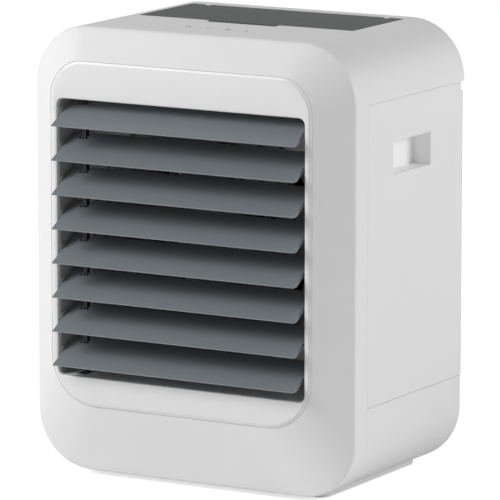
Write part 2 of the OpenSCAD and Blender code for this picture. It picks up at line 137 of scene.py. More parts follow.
class CoolerColours(bpy.types.PropertyGroup):
    """Colours of the finishes."""

    shell: tint("Shell", "White plastic of the shells", (0.80, 0.80, 0.80))
    bezel: tint("Bezel", "White plastic of the bezel", (0.77, 0.77, 0.77))
    inner: tint("Inside", "Plain plastic of the inner parts", (0.66, 0.67, 0.67))
    louvre: tint("Louvre", "Blue grey plastic of the louvres", (0.180, 0.200, 0.215))
    duct: tint("Duct", "Grey plastic of the air duct", (0.40, 0.405, 0.405))
    lid: tint("Lid", "Dark grey plastic of the tank's lid", (0.088, 0.092, 0.092))
    impeller: tint("Impeller", "Grey plastic of the fan", (0.10, 0.11, 0.12))
    tank: tint("Tank", "Smoky clear plastic of the tank", (0.72, 0.82, 0.88))
    rubber: tint("Rubber", "Grey rubber of the feet", (0.075, 0.075, 0.078))
    silicone: tint("Silicone", "Pale silicone of the seals", (0.70, 0.71, 0.70))
    steel: tint("Steel", "Plated steel of the screws and shafts", (0.62, 0.62, 0.60))
    copper: tint("Copper", "Enamelled copper of the windings", (0.55, 0.20, 0.08))
    wick: tint("Wick", "Cellulose paper of the wet pad", (0.42, 0.28, 0.15))
    screen: tint("Screen", "Nylon mesh of the dust screen", (0.14, 0.145, 0.15))
    board: tint("Board", "Solder resist of the boards", (0.012, 0.10, 0.045))
    black: tint("Black", "Black plastic of the components", (0.02, 0.02, 0.021))
    ribbon: tint("Ribbon", "Grey insulation of the ribbon cable", (0.42, 0.43, 0.44))
    mark: tint("Marks", "Grey print of the touch marks", (0.12, 0.125, 0.13))
    # Painted light: a paler white for the finger pockets' walls and the duct's sill, not an etched finish of
    # its own.
    pocket: tint("Pockets", "Finely etched plastic of the finger pockets", (0.93, 0.93, 0.93))
    # A dark coat, kept this dark as painted shade so that the guard reads as the shade behind the louvres.
    guard: tint("Guard", "Dark coat of the fan's guard", (0.05, 0.053, 0.056))
    solder: tint("Solder", "Tinned pins and cans", (0.66, 0.66, 0.67))
    part: tint("Small parts", "Ceramic of the small parts on the boards", (0.30, 0.22, 0.14))
    ferrite: tint("Ferrite", "Sintered magnet and coil cores", (0.035, 0.034, 0.033))
    floor: tint("Floor", "Pale floor and surroundings", (0.90, 0.90, 0.90))


class CoolerStage(bpy.types.PropertyGroup):
    """The camera, the lights and the floor."""

    azimuth: bpy.props.FloatProperty(
        name="Azimuth", description="Camera round the object", default=math.radians(30.06), subtype="ANGLE"
    )
    elevation: bpy.props.FloatProperty(
        name="Elevation",
        description="Camera above the horizon",
        default=math.radians(10.04),
        subtype="ANGLE",
    )
    focal: bpy.props.FloatProperty(
        name="Focal length", description="Lens in millimetres", default=361.3, min=20
    )
    eye: bpy.props.FloatVectorProperty(
        name="Eye", description="Place of the camera", default=(1.6372, -2.81575, 0.7260), unit="LENGTH"
    )
    key: strength("Key light", "Power from the front left, in watts", 47.4)
    side: strength("Side light", "Power from the right and behind, in watts", 22.8)
    horizon: strength("Horizon", "Strength of the surroundings at eye level", 0.4)
    zenith: strength("Zenith", "Strength of the surroundings overhead", 0.29)
    glow: strength("Floor glow", "Light that the lit floor gives off", 0.0)
    lift: strength("Floor lift", "Whitening of the floor as seen", 0.62)


def in_mm(group):
    """A group's lengths as plain numbers, in millimetres."""
    return {key: getattr(group, key) / MM for key in group.__annotations__}


# ---- mesh helpers ----
def linked_object(bm, name):
    """An object in the scene made of a bmesh, which it frees."""
    mesh = bpy.data.meshes.new(name)
    bm.to_mesh(mesh)
    bm.free()
    made = bpy.data.objects.new(name, mesh)
    bpy.context.scene.collection.objects.link(made)
    return made


def finish(bm, name, finishes, body, node=None, break_edge=0, smooth=35):
    """Makes a piece of a mesh drawn in millimetres, riding on a body and standing for a CAD node.
    Its finishes are given by name, the main one first. break_edge is the rounding of its sharp edges."""
    bm.transform(TO_FRAME)
    piece = linked_object(bm, name)
    finishes = [finishes] if isinstance(finishes, str) else finishes
    for key in finishes:
        piece.data.materials.append(FINISHES[key])
    piece.data.shade_smooth()
    piece.data.set_sharp_from_angle(angle=math.radians(smooth))
    if break_edge:
        soften(piece, break_edge)
    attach(piece, body)
    if node:
        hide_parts(node)


SHARP_ANGLE = 40  # degrees between two faces, above which their edge is rounded


def soften(piece, width):
    bevel = piece.modifiers.new("broken_edges", "BEVEL")
    bevel.width = width * MM
    bevel.segments = 2
    bevel.limit_method = "ANGLE"
    bevel.angle_limit = math.radians(SHARP_ANGLE)
    bevel.harden_normals = True
    bevel.use_clamp_overlap = True


def copy_of(node):
    """A CAD node's mesh in millimetres, merged, with its flat faces whole."""
    bm = bmesh.new()
    bm.from_mesh(NODES[node].data)
    bm.transform(TO_LOCAL)
    bmesh.ops.remove_doubles(bm, verts=bm.verts, dist=0.002)
    bmesh.ops.dissolve_limit(bm, angle_limit=math.radians(0.6), verts=bm.verts, edges=bm.edges)
    return bm


def body_of(node):
    return NODES[node]["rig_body"]


def moulded(name, node, finishes, break_edge, extra=None):
    """A CAD node's shape with broken edges. extra(bm) gives some of its faces another finish."""
    bm = copy_of(node)
    if extra:
        extra(bm)
    finish(bm, name, finishes, body_of(node), node, break_edge)


def add_box(bm, low, high, slot=0):
    corners = [
        Vector((x, y, z)) for x in (low[0], high[0]) for y in (low[1], high[1]) for z in (low[2], high[2])
    ]
    verts = [bm.verts.new(c) for c in corners]
    for quad in ((0, 1, 3, 2), (4, 6, 7, 5), (0, 4, 5, 1), (2, 3, 7, 6), (0, 2, 6, 4), (1, 5, 7, 3)):
        bm.faces.new([verts[k] for k in quad]).material_index = slot


def add_lathe(bm, profile, centre, axis="Z", steps=32, slot=0):
    """Turns a profile of (radius, height) points round an axis through centre."""
    turn = {
        "X": Matrix.Rotation(math.pi / 2, 4, "Y"), "Y": Matrix.Rotation(-math.pi / 2, 4, "X"), "Z": Matrix()
    }[axis]
    place = Matrix.Translation(centre) @ turn
    rings = []
    for radius, height in profile:
        if radius < 1e-6:
            rings.append([bm.verts.new(place @ Vector((0, 0, height)))])
            continue
        angles = [2 * math.pi * k / steps for k in range(steps)]
        rings.append(
            [
                bm.verts.new(place @ Vector((radius * math.cos(a), radius * math.sin(a), height)))
                for a in angles
            ]
        )
    faces = []
    for low, high in zip(rings, rings[1:]):
        for k in range(steps):
            ring = [
                low[k % len(low)], low[(k + 1) % len(low)], high[(k + 1) % len(high)], high[k % len(high)]
            ]
            faces.append(bm.faces.new(list(dict.fromkeys(ring))))
    for ring, turned in ((rings[0], True), (rings[-1], False)):
        if len(ring) > 1:
            faces.append(bm.faces.new(ring[::-1] if turned else ring))
    for face in faces:
        face.material_index = slot


def walled(bm, outer, inner, kept):
    """A wall between two like grids of points: grid[row][station]. kept(row, station) says which
    cells hold a wall. The stations run all the way round."""
    skins = [[[bm.verts.new(p) for p in row] for row in grid] for grid in (outer, inner)]
    rows, stations = len(outer) - 1, len(outer[0])

    def there(j, i):
        return 0 <= j < rows and kept(j, i % stations)

    for j in range(rows):
        for i in range(stations):
            if not there(j, i):
                continue
            k = (i + 1) % stations
            for skin in skins:
                bm.faces.new((skin[j][i], skin[j][k], skin[j + 1][k], skin[j + 1][i]))
            sides = (
                ((j - 1, i), (j, i), (j, k)),
                ((j + 1, i), (j + 1, i), (j + 1, k)),
                ((j, i - 1), (j, i), (j + 1, i)),
                ((j, i + 1), (j, k), (j + 1, k)),
            )
            for beyond, a, b in sides:
                if not there(*beyond):
                    o, n = skins
                    bm.faces.new((o[a[0]][a[1]], o[b[0]][b[1]], n[b[0]][b[1]], n[a[0]][a[1]]))
    bmesh.ops.remove_doubles(bm, verts=bm.verts, dist=0.002)
    bmesh.ops.recalc_face_normals(bm, faces=bm.faces)


ARC_STEPS = 15
TOP_SHARES = (0, 1 / 3, 2 / 3)
LID_ANGLE = 89.27  # on the corner arc, just outside the lid's opening
SIDE_SHARES = (0.75 / 218, 0.12, 0.3, 0.5, 0.7, 0.88)  # the first is the upper seam


def rounded(x, z0, z1, r_top, r_low):
    """Points clockwise round an upright rounded rectangle from its top middle, as many for any size."""
    top, low = z1 - r_top, z0 + r_low
    right = [(share * (x - r_top), z1) for share in TOP_SHARES]
    for angle in [LID_ANGLE] + [90 - 90 * k / ARC_STEPS for k in range(1, ARC_STEPS + 1)]:
        a = math.radians(angle)
        right.append((x - r_top + r_top * math.cos(a), top + r_top * math.sin(a)))
    right += [(x, top + (low - top) * share) for share in SIDE_SHARES]
    for k in range(ARC_STEPS + 1):
        a = -math.pi / 2 * k / ARC_STEPS
        right.append((x - r_low + r_low * math.cos(a), low + r_low * math.sin(a)))
    right += [(share * (x - r_low), z0) for share in TOP_SHARES[::-1]]
    return right + [(-px, pz) for px, pz in right[-2:0:-1]]


def body_outline(s, inset=0):
    half, r = s["width"] / 2 - inset, s["corner"] - inset
    return rounded(half, inset, s["height"] - inset, r, r)


def at_depth(outline, y):
    return [Vector((x, y, z)) for x, z in outline]


def between(row_a, row_b, share):
    return [a.lerp(b, share) for a, b in zip(row_a, row_b)]


def quarter_round(steps=4):
    """(inset, run) of a unit fillet, from the flank to the end face."""
    return [(1 - math.cos(a), math.sin(a)) for a in (math.pi / 2 * k / steps for k in range(1, steps + 1))]


# ---- shells ----
DUCT_HOLE_X = 92.65
DUCT_HOLE_Z = (66.6, 250.1)
SHELF_Z = CASSETTE_HIGH.z + 0.5  # underside of the shelf that carries the tank
UPPER_SEAM = CASSETTE_HIGH.z + 0.15
LOWER_SEAM = CASSETTE_LOW.z - 0.15
LID_GAP_X = LID_HIGH.x + 0.5
LID_GAP_Y = (LID_LOW.y - 0.5, LID_HIGH.y + 0.8)
NOTCH_X = 27  # half width of the finger notch in front of the lid
NOTCH_Y = 77.4
NOTCH_FLOOR = 287
HINGE_Y, HINGE_Z = LID_HIGH.y - 2.5, LID_HIGH.z - 2.5
LUG_X = (66.4, 70)
POCKET_Y = (68, 119.6)  # the finger pockets in the cassette's sides
POCKET_Z = (206.6, 229)
POCKET_DEPTH = 14


def bevel_rows(s, rim, lip, edge, inside):
    """Outer and inner rows of the front bevel, from the rim's lip to the seam."""
    front, corner = at_depth(rim, 1), at_depth(edge, s["bevel_depth"])
    inner_corner = at_depth(inside, s["bevel_depth"] + 1.2)
    rows = [(lip, lip), (front, lip)]
    for share in (0.3, 0.6, 0.85):
        rows.append((between(front, corner, share), between(lip, inner_corner, share)))
    for k in range(6):
        u = k / 5
        row = []
        for start, end in zip(front, corner):
            along = end + (start - end).normalized() * s["edge"]
            back = end + Vector((0, s["edge"], 0))
            row.append(along * (1 - u) ** 2 + end * 2 * u * (1 - u) + back * u**2)
        rows.append((row, inner_corner))
    for y in (26, s["seam"]):
        rows.append((at_depth(edge, y), at_depth(inside, y)))
    return rows


def rear_rows(s, last_y, end_z, wall_y, rounding):
    """Rows of a rounded rear edge, and of the rear wall that runs from it to end_z."""
    inside = body_outline(s, s["wall"])
    rows = []
    for inset, run in quarter_round():
        edge = body_outline(s, inset * rounding)
        rows.append((at_depth(edge, last_y + run * rounding), at_depth(inside, wall_y)))
    outer, inner = rows[-1]
    for share in (0.5, 1):
        level = [[Vector((p.x, p.y, p.z + (end_z - p.z) * share)) for p in row] for row in (outer, inner)]
        rows.append(tuple(level))
    return rows


def draw_case_shell(s):
    """Front ring with its bevel, and the top deck behind it, open for the lid and its finger notch."""
    rim = rounded(
        s["width"] / 2 - s["bevel_side"],
        s["chin"],
        s["height"] - s["bevel_top"],
        s["rim_top"],
        s["rim_low"],
    )
    edge, inside = body_outline(s), body_outline(s, s["wall"])
    rows = bevel_rows(s, rim, at_depth(rim, 4.2), edge, inside)
    ring_rows = len(rows) - 1
    last, wall_y = s["depth"] - s["rear_edge"], s["depth"] - s["wall"]
    for y in (55, NOTCH_Y, LID_GAP_Y[0], 120, LID_GAP_Y[1], last):
        rows.append((at_depth(edge, y), at_depth(inside, min(y, wall_y))))
    rows += rear_rows(s, last, UPPER_SEAM, wall_y, s["rear_edge"])
    notch_row = ring_rows + 2
    count = len(edge)

    def kept(j, i):
        a, b = edge[i], edge[(i + 1) % count]
        if j < ring_rows:
            return True
        if min(a[1], b[1]) < UPPER_SEAM - 0.01:
            return False
        reach = max(abs(a[0]), abs(b[0])) - 0.01 if a[1] > s["height"] - 1 else s["width"]
        return not (
            (j == notch_row and reach < NOTCH_X) or (notch_row < j <= notch_row + 2 and reach < LID_GAP_X)
        )

    bm = bmesh.new()
    walled(bm, [r[0] for r in rows], [r[1] for r in rows], kept)
    top, wall = s["height"], s["wall"]
    add_box(bm, (-117.4, 33, SHELF_Z), (117.4, 165.2, SHELF_Z + wall))
    add_box(
        bm, (-NOTCH_X - 2, NOTCH_Y - 2, NOTCH_FLOOR - 2), (NOTCH_X + 2, LID_GAP_Y[0] + 0.4, NOTCH_FLOOR)
    )
    add_box(bm, (-NOTCH_X - 2, NOTCH_Y - 2, NOTCH_FLOOR - 0.5), (NOTCH_X + 2, NOTCH_Y, top - 1))
    ledge = top - 5.4
    add_box(bm, (-84, LID_GAP_Y[1] - 6.4, ledge - 2), (84, LID_GAP_Y[1] + 2.2, ledge))
    add_box(bm, (-84, LID_GAP_Y[1], ledge - 0.5), (84, LID_GAP_Y[1] + 2.2, top - 1))
    for side in (-1, 1):
        near, far = sorted((side * NOTCH_X, side * (NOTCH_X + 2)))
        add_box(bm, (near, NOTCH_Y - 0.5, NOTCH_FLOOR - 0.5), (far, LID_GAP_Y[0] + 0.4, top - 1))
        near, far = sorted((side * LUG_X[0], side * LUG_X[1]))
        add_box(bm, (near, HINGE_Y, ledge - 1), (far, LID_GAP_Y[1] + 1, top - 0.1))
        add_lathe(bm, [(2.4, near), (2.4, far)], (0, HINGE_Y, HINGE_Z), "X")
        for z in (70, 226):
            add_lathe(bm, [(1.4, 22), (2.6, 22), (4, 23), (4, 31.2)], (side * 108, 0, z), "Y", 20)
            near, far = sorted((side * 111, side * 118))
            add_box(bm, (near, 21, z - 1), (far, 31.2, z + 1))
    for x in (-36, 36):
        for y in (39, 59):
            add_lathe(bm, [(3, top - 10.4), (3, top - 1.2)], (x, y, 0), "Z", 20)
    return bm


def draw_base_cover(s):
    """Base of the body: a tray with a rounded rear edge, open at the front and the top."""
    edge, inside = body_outline(s), body_outline(s, s["wall"])
    top = LOWER_SEAM
    edge, inside = ([(x, min(z, top)) if z < top + 60 else (x, z) for x, z in o] for o in (edge, inside))
    first, last = BASE_LOW.y, BASE_HIGH.y - s["base_edge"]
    wall_y = BASE_HIGH.y - s["wall"]
    rows = []
    for y in (first, 75, 120, last):
        rows.append((at_depth(edge, y), at_depth(inside, min(y, wall_y))))
    rear = rear_rows(s, last, top, wall_y, s["base_edge"])
    rows += [
        ([Vector((p.x, p.y, min(p.z, top))) for p in o], [Vector((p.x, p.y, min(p.z, top))) for p in n])
        for o, n in rear
    ]
    count = len(edge)

    def kept(j, i):
        return max(edge[i][1], edge[(i + 1) % count][1]) < top + 0.01

    bm = bmesh.new()
    walled(bm, [r[0] for r in rows], [r[1] for r in rows], kept)
    return bm


def draw_bezel(s):
    """Flat panel round the outlet, with a rounded edge to the opening and a sloping ledge at the rim."""
    half, low, top = s["width"] / 2 - s["bevel_side"], s["chin"], s["height"] - s["bevel_top"]

    def opening(out, y):
        return at_depth(
            rounded(DUCT_HOLE_X + out, DUCT_HOLE_Z[0] - out, DUCT_HOLE_Z[1] + out, 4.5 + out, 4.5 + out), y
        )

    def panel(inset, y):
        return at_depth(
            rounded(half - inset, low + inset, top - inset, s["rim_top"] - inset, s["rim_low"] - inset), y
        )

    rows = [opening(0, 3.5)] + [
        opening(1.1 * (1 - math.cos(a)), 1.1 * (1 - math.sin(a))) for a in (0, 0.4, 0.8, 1.2, math.pi / 2)
    ]
    rows += [panel(2.4, 0), panel(2.1, 0.08), panel(2, 0.3), panel(2, 0.45), panel(1.8, 0.5)]
    rows += [panel(0.5, 0.85), panel(0.25, 1.05), panel(0.15, 1.4), panel(0.15, 3.5)]
    bm = bmesh.new()
    rings = [[bm.verts.new(p) for p in row] for row in rows]
    for ring, following in zip(rings, rings[1:] + rings[:1]):
        for i in range(len(ring)):
            k = (i + 1) % len(ring)
            bm.faces.new((ring[i], ring[k], following[k], following[i]))
    bmesh.ops.recalc_face_normals(bm, faces=bm.faces)
    return bm


def paint_contact_shade(bm):
    """Paints the foot plate's top, where it meets the base, black: painted shade for the dark gap under the
    base's edge.
    """
    for face in bm.faces:
        face.material_index = 1 if face.normal.z > 0.9 and face.calc_center_median().z > -0.2 else 0


def paint_sill_light(bm):
    """Gives the upward faces of the duct that lie at or under the outlet's lower edge a paler finish: painted
    light on the shaded floor under the louvres.
    """
    for face in bm.faces:
        middle = face.calc_center_median()
        face.material_index = 1 if face.normal.z > 0.9 and middle.z < DUCT_HOLE_Z[0] + 0.5 else 0


def paint_pocket_light(bm):
    """Gives the walls of the finger pockets a paler finish: painted light, for how much lighter their sloped
    walls look than the sides.
    """
    for face in bm.faces:
        middle = face.calc_center_median()
        inside = POCKET_Y[0] < middle.y < POCKET_Y[1] and POCKET_Z[0] < middle.z < POCKET_Z[1]
        inside = inside and CASSETTE_HIGH.x - POCKET_DEPTH < abs(middle.x)
        face.material_index = 1 if inside and abs(middle.x) < CASSETTE_HIGH.x - 0.1 else 0


# ---- shader groups ----
def wire(tree, kind, settings=None, inputs=None):
    """Adds a node, sets its properties, and sets or links its inputs by name or number."""
    node = tree.nodes.new(kind)
    for key, value in (settings or {}).items():
        setattr(node, key, value)
    for key, value in (inputs or {}).items():
        if isinstance(value, bpy.types.NodeSocket):
            tree.links.new(value, node.inputs[key])
        else:
            node.inputs[key].default_value = value
    return node


def result(tree, kind, inputs=None, settings=None):
    """The first output of a new node."""
    return wire(tree, kind, settings, inputs).outputs[0]


def maths(tree, operation, a, b=0.0, c=0.0, clamp=False):
    return wire(
        tree, "ShaderNodeMath", {"operation": operation, "use_clamp": clamp}, {0: a, 1: b, 2: c}
    ).outputs[0]


def mixed(tree, factor, a, b):
    return wire(tree, "ShaderNodeMix", {"data_type": "RGBA"}, {0: factor, 6: a, 7: b}).outputs[2]


def ramp(tree, value, low, high, to_low=0.0, to_high=1.0):
    inputs = {"Value": value, "From Min": low, "From Max": high, "To Min": to_low, "To Max": to_high}
    return wire(tree, "ShaderNodeMapRange", {"interpolation_type": "SMOOTHSTEP"}, inputs).outputs["Result"]


SOCKETS = {float: "NodeSocketFloat", tuple: "NodeSocketColor", str: "NodeSocketVector"}


def shader_group(name, inputs, outputs):
    """A new shader node group. A tuple makes a colour socket, a float a value socket, a string a vector one."""
    tree = bpy.data.node_groups.new(name, "ShaderNodeTree")
    for label, value in inputs.items():
        socket = tree.interface.new_socket(label, in_out="INPUT", socket_type=SOCKETS[type(value)])
        if not isinstance(value, str):
            socket.default_value = value
    for label, value in outputs.items():
        tree.interface.new_socket(label, in_out="OUTPUT", socket_type=SOCKETS[type(value)])
    return tree, wire(tree, "NodeGroupInput").outputs, wire(tree, "NodeGroupOutput").inputs


def object_noise(tree, scale, detail=3.0, stretch=None):
    place = wire(tree, "ShaderNodeTexCoord").outputs["Object"]
    if stretch:
        place = result(tree, "ShaderNodeMapping", {"Vector": place, "Scale": stretch})
    return result(tree, "ShaderNodeTexNoise", {"Vector": place, "Scale": scale, "Detail": detail})


def build_shader_groups():
    """Effects that several finishes share."""
    tree, given, out = shader_group(
        "moulded_grain", {
            "Grain Size": 0.5, "Depth": 0.1, "Roughness": 0.4
        }, {"Roughness": 0.0, "Normal": ""}
    )
    scale = maths(tree, "DIVIDE", 1000.0, given["Grain Size"])
    grain = object_noise(tree, scale, 2.0)
    waviness = object_noise(tree, 28.0, 1.0)
    height = maths(tree, "ADD", grain, maths(tree, "MULTIPLY", waviness, 0.4))
    bump = wire(
        tree, "ShaderNodeBump", {}, {"Strength": given["Depth"], "Distance": 0.00005, "Height": height}
    )
    tree.links.new(bump.outputs[0], out["Normal"])
    smear = object_noise(tree, 60.0, 4.0)
    spread = maths(tree, "MULTIPLY", maths(tree, "SUBTRACT", smear, 0.5), 0.05)
    tree.links.new(maths(tree, "ADD", given["Roughness"], spread, clamp=True), out["Roughness"])

    tree, given, out = shader_group(
        "tone_drift", {"Color": (0.8, 0.8, 0.8, 1.0), "Amount": 0.03}, {"Color": (0, 0, 0, 1)}
    )
    drift = maths(tree, "SUBTRACT", object_noise(tree, 14.0, 3.0), 0.5)
    value = maths(tree, "ADD", 1.0, maths(tree, "MULTIPLY", drift, given["Amount"]))
    tinted = wire(tree, "ShaderNodeHueSaturation", {}, {"Value": value, "Color": given["Color"]})
    tree.links.new(tinted.outputs[0], out["Color"])

    tree, given, out = shader_group("edge_wear", {"Amount": 0.3}, {"Mask": 0.0})
    point = wire(tree, "ShaderNodeNewGeometry").outputs["Pointiness"]
    edge = ramp(tree, point, 0.58, 0.68)
    broken = ramp(tree, object_noise(tree, 220.0, 5.0), 0.35, 0.65)
    tree.links.new(
        maths(tree, "MULTIPLY", maths(tree, "MULTIPLY", edge, broken), given["Amount"]), out["Mask"]
    )

    tree, given, out = shader_group("settled_dust", {"Amount": 0.3, "Size": 3.0}, {"Mask": 0.0})
    normal = wire(tree, "ShaderNodeNewGeometry").outputs["Normal"]
    up = ramp(tree, wire(tree, "ShaderNodeSeparateXYZ", {}, {0: normal}).outputs["Z"], 0.2, 0.95, 0.15, 1.0)
    speck = ramp(tree, object_noise(tree, maths(tree, "DIVIDE", 1000.0, given["Size"]), 6.0), 0.42, 0.7)
    tree.links.new(
        maths(tree, "MULTIPLY", maths(tree, "MULTIPLY", up, speck), given["Amount"]), out["Mask"]
    )


# ---- finishes ----
DUST = (0.42, 0.40, 0.37, 1.0)


def effect(tree, name, inputs):
    """Outputs of a shared shader group."""
    return wire(tree, "ShaderNodeGroup", {"node_tree": bpy.data.node_groups[name]}, inputs).outputs


def bumped(tree, shader, height, strength, distance):
    """Lets a height bump the surface by up to a distance in metres."""
    inputs = {"Strength": strength, "Distance": distance, "Height": height}
    tree.links.new(result(tree, "ShaderNodeBump", inputs), shader.inputs["Normal"])


def new_finish(name, **settings):
    """A material with only its Principled BSDF, whose even settings are set on its own sockets."""
    material = bpy.data.materials.new(name)
    material.use_nodes = True
    tree = material.node_tree
    shader = tree.nodes["Principled BSDF"]
    for key, value in settings.items():
        shader.inputs[key.replace("_", " ")].default_value = value
    return material, tree, shader


def opaque(colour):
    return (*colour, 1.0)


def plastic(
    name, colour, roughness=0.42, grain=0.5, depth=0.12, drift=0.04, wear=0.3, dust=0.0, **settings
):
    """Moulded plastic: a fine grain, a slightly uneven tone, polished edges and, inside, settled dust."""
    material, tree, shader = new_finish(name, **settings)
    base = effect(tree, "tone_drift", {"Color": opaque(colour), "Amount": drift})["Color"]
    worn = effect(tree, "edge_wear", {"Amount": wear})["Mask"]
    pale = opaque([c + (1 - c) * 0.25 for c in colour])
    base = mixed(tree, worn, base, pale)
    grained = effect(tree, "moulded_grain", {"Grain Size": grain, "Depth": depth, "Roughness": roughness})
    rough = grained["Roughness"]
    if dust:
        mask = effect(tree, "settled_dust", {"Amount": dust})["Mask"]
        base = mixed(tree, mask, base, DUST)
        rough = maths(tree, "ADD", rough, maths(tree, "MULTIPLY", mask, 0.5), clamp=True)
    rough = maths(tree, "SUBTRACT", rough, maths(tree, "MULTIPLY", worn, 0.12), clamp=True)
    tree.links.new(base, shader.inputs["Base Color"])
    tree.links.new(rough, shader.inputs["Roughness"])
    tree.links.new(grained["Normal"], shader.inputs["Normal"])
    return material


def metal(name, colour, roughness, stretch, scale=900.0):
    """Drawn or turned metal: fine streaks along one axis, and a slightly uneven tone."""
    material, tree, shader = new_finish(name, Metallic=1.0)
    streaks = object_noise(tree, scale, 4.0, stretch)
    base = effect(tree, "tone_drift", {"Color": opaque(colour), "Amount": 0.15})["Color"]
    tree.links.new(
        mixed(tree, maths(tree, "MULTIPLY", streaks, 0.35), base, opaque([c * 0.6 for c in colour])),
        shader.inputs["Base Color"],
    )
    tree.links.new(
        maths(tree, "ADD", roughness, maths(tree, "MULTIPLY", streaks, 0.2)), shader.inputs["Roughness"]
    )
    bumped(tree, shader, streaks, 0.2, 0.00002)
    return material


def banded(name, colour, other, pitch, axis, roughness, **settings):
    """Even bands across one axis, such as the wires of a ribbon or the turns of a winding."""
    material, tree, shader = new_finish(name, **settings)
    place = wire(tree, "ShaderNodeTexCoord").outputs["Object"]
    along = wire(tree, "ShaderNodeSeparateXYZ", {}, {0: place}).outputs[axis]
    wave = maths(tree, "SINE", maths(tree, "MULTIPLY", along, 2 * math.pi / (pitch * MM)))
    band = ramp(tree, maths(tree, "MULTIPLY_ADD", wave, 0.5, 0.5), 0.3, 0.7)
    base = effect(tree, "tone_drift", {"Color": opaque(colour), "Amount": 0.1})["Color"]
    tree.links.new(mixed(tree, band, base, opaque(other)), shader.inputs["Base Color"])
    bumped(tree, shader, band, 0.3, 0.0003)
    fine = object_noise(tree, 400.0, 3.0)
    tree.links.new(maths(tree, "MULTIPLY_ADD", fine, 0.15, roughness), shader.inputs["Roughness"])
    return material


def tank_plastic(colour):
    """Smoky clear plastic with faint flow lines and dried water marks."""
    material, tree, shader = new_finish("tank_clear", IOR=1.49, Transmission_Weight=0.88)
    marks = ramp(tree, object_noise(tree, 90.0, 5.0), 0.5, 0.75)
    base = effect(tree, "tone_drift", {"Color": opaque(colour), "Amount": 0.05})["Color"]
    tree.links.new(base, shader.inputs["Base Color"])
    tree.links.new(maths(tree, "MULTIPLY_ADD", marks, 0.25, 0.08), shader.inputs["Roughness"])
    bumped(tree, shader, object_noise(tree, 35.0, 1.0), 0.08, 0.0002)
    return material


def wick_paper(colour):
    """Crimped cellulose paper: fibres, lime stains and a soft uneven edge."""
    material, tree, shader = new_finish("wick_paper")
    fibres = object_noise(tree, 700.0, 6.0, (1.0, 0.25, 1.0))
    stains = ramp(tree, object_noise(tree, 25.0, 4.0), 0.5, 0.8)
    base = effect(tree, "tone_drift", {"Color": opaque(colour), "Amount": 0.5})["Color"]
    base = mixed(tree, maths(tree, "MULTIPLY", fibres, 0.6), base, opaque([c * 0.55 for c in colour]))
    base = mixed(tree, maths(tree, "MULTIPLY", stains, 0.35), base, (0.62, 0.55, 0.42, 1))
    tree.links.new(base, shader.inputs["Base Color"])
    tree.links.new(maths(tree, "MULTIPLY_ADD", stains, -0.15, 0.9), shader.inputs["Roughness"])
    bumped(tree, shader, fibres, 0.6, 0.0003)
    return material


def solder_resist(colour):
    """Glossy solder resist with copper tracks and filled areas showing through it."""
    material, tree, shader = new_finish("solder_resist", Coat_Weight=0.4, Coat_Roughness=0.1)
    place = wire(tree, "ShaderNodeTexCoord").outputs["Object"]
    bricks = wire(
        tree, "ShaderNodeTexBrick", {"offset": 0.37}, {"Vector": place, "Scale": 260.0, "Mortar Size": 0.06}
    )
    areas = ramp(tree, object_noise(tree, 45.0, 1.0), 0.48, 0.5)
    tracks = maths(tree, "MULTIPLY", bricks.outputs["Fac"], areas)
    base = mixed(tree, tracks, opaque(colour), opaque([c * 2.2 + 0.01 for c in colour]))
    tree.links.new(base, shader.inputs["Base Color"])
    tree.links.new(
        maths(tree, "MULTIPLY_ADD", object_noise(tree, 120.0, 3.0), 0.15, 0.3), shader.inputs["Roughness"]
    )
    bumped(tree, shader, tracks, 0.3, 0.00005)
    return material


FINISHES = {}


def build_finishes(c):
    FINISHES.update(
        shell_white=plastic("shell_white", c.shell, 0.40, 0.45, 0.10, 0.03, 0.2),
        bezel_white=plastic("bezel_white", c.bezel, 0.34, 0.40, 0.08, 0.03, 0.2),
        foot_white=plastic("foot_white", c.shell, 0.50, 0.6, 0.15, 0.04, 0.2),
        # a paler copy of the shell's white, painted light on the pockets and the sill
        pocket_white=plastic("pocket_white", c.pocket, 0.50, 0.6, 0.15, 0.03, 0.2),
        guard_coat=plastic("guard_coat", c.guard, 0.38, 0.9, 0.2, 0.10, 0.4, dust=0.25),
        solder=metal("solder", c.solder, 0.30, (3.0, 3.0, 3.0), 300.0),
        part_body=plastic("part_body", c.part, 0.5, 0.3, 0.2, 0.1, 0.3),
        ferrite=plastic("ferrite", c.ferrite, 0.55, 0.4, 0.3, 0.15, 0.3),
        inner_white=plastic("inner_white", c.inner, 0.50, 0.7, 0.15, 0.06, 0.3, dust=0.12),
        louvre_grey=plastic("louvre_grey", c.louvre, 0.50, 0.30, 0.05, 0.02, 0.1),
        duct_grey=plastic("duct_grey", c.duct, 0.50, 0.6, 0.16, 0.08, 0.3, dust=0.15),
        lid_grey=plastic("lid_grey", c.lid, 0.48, 0.30, 0.06, 0.02, 0.1),
        impeller_grey=plastic("impeller_grey", c.impeller, 0.42, 0.6, 0.12, 0.10, 0.5, dust=0.3),
        black_plastic=plastic("black_plastic", c.black, 0.45, 0.3, 0.25, 0.2, 0.4),
        rubber_grey=plastic("rubber_grey", c.rubber, 0.80, 0.5, 0.5, 0.2, 0.2, dust=0.3),
        silicone=plastic(
            "silicone",
            c.silicone,
            0.55,
            0.8,
            0.1,
            0.05,
            0.1,
            Subsurface_Weight=0.15,
            Subsurface_Scale=0.002,
        ),
        screen=plastic("screen", c.screen, 0.60, 0.3, 0.2, 0.2, 0.4, dust=0.35),
        mark_print=plastic("mark_print", c.mark, 0.45, 0.3, 0.05, 0.06, 0.0),
        steel=metal("steel", c.steel, 0.22, (1.0, 8.0, 8.0)),
        copper=banded("copper", c.copper, [v * 0.45 for v in c.copper], 0.6, "Z", 0.25, Metallic=1.0),
        ribbon=banded("ribbon", c.ribbon, [v * 0.6 for v in c.ribbon], 1.27, "Y", 0.5),
        tank_clear=tank_plastic(c.tank),
        wick=wick_paper(c.wick),
        board_green=solder_resist(c.board),
    )


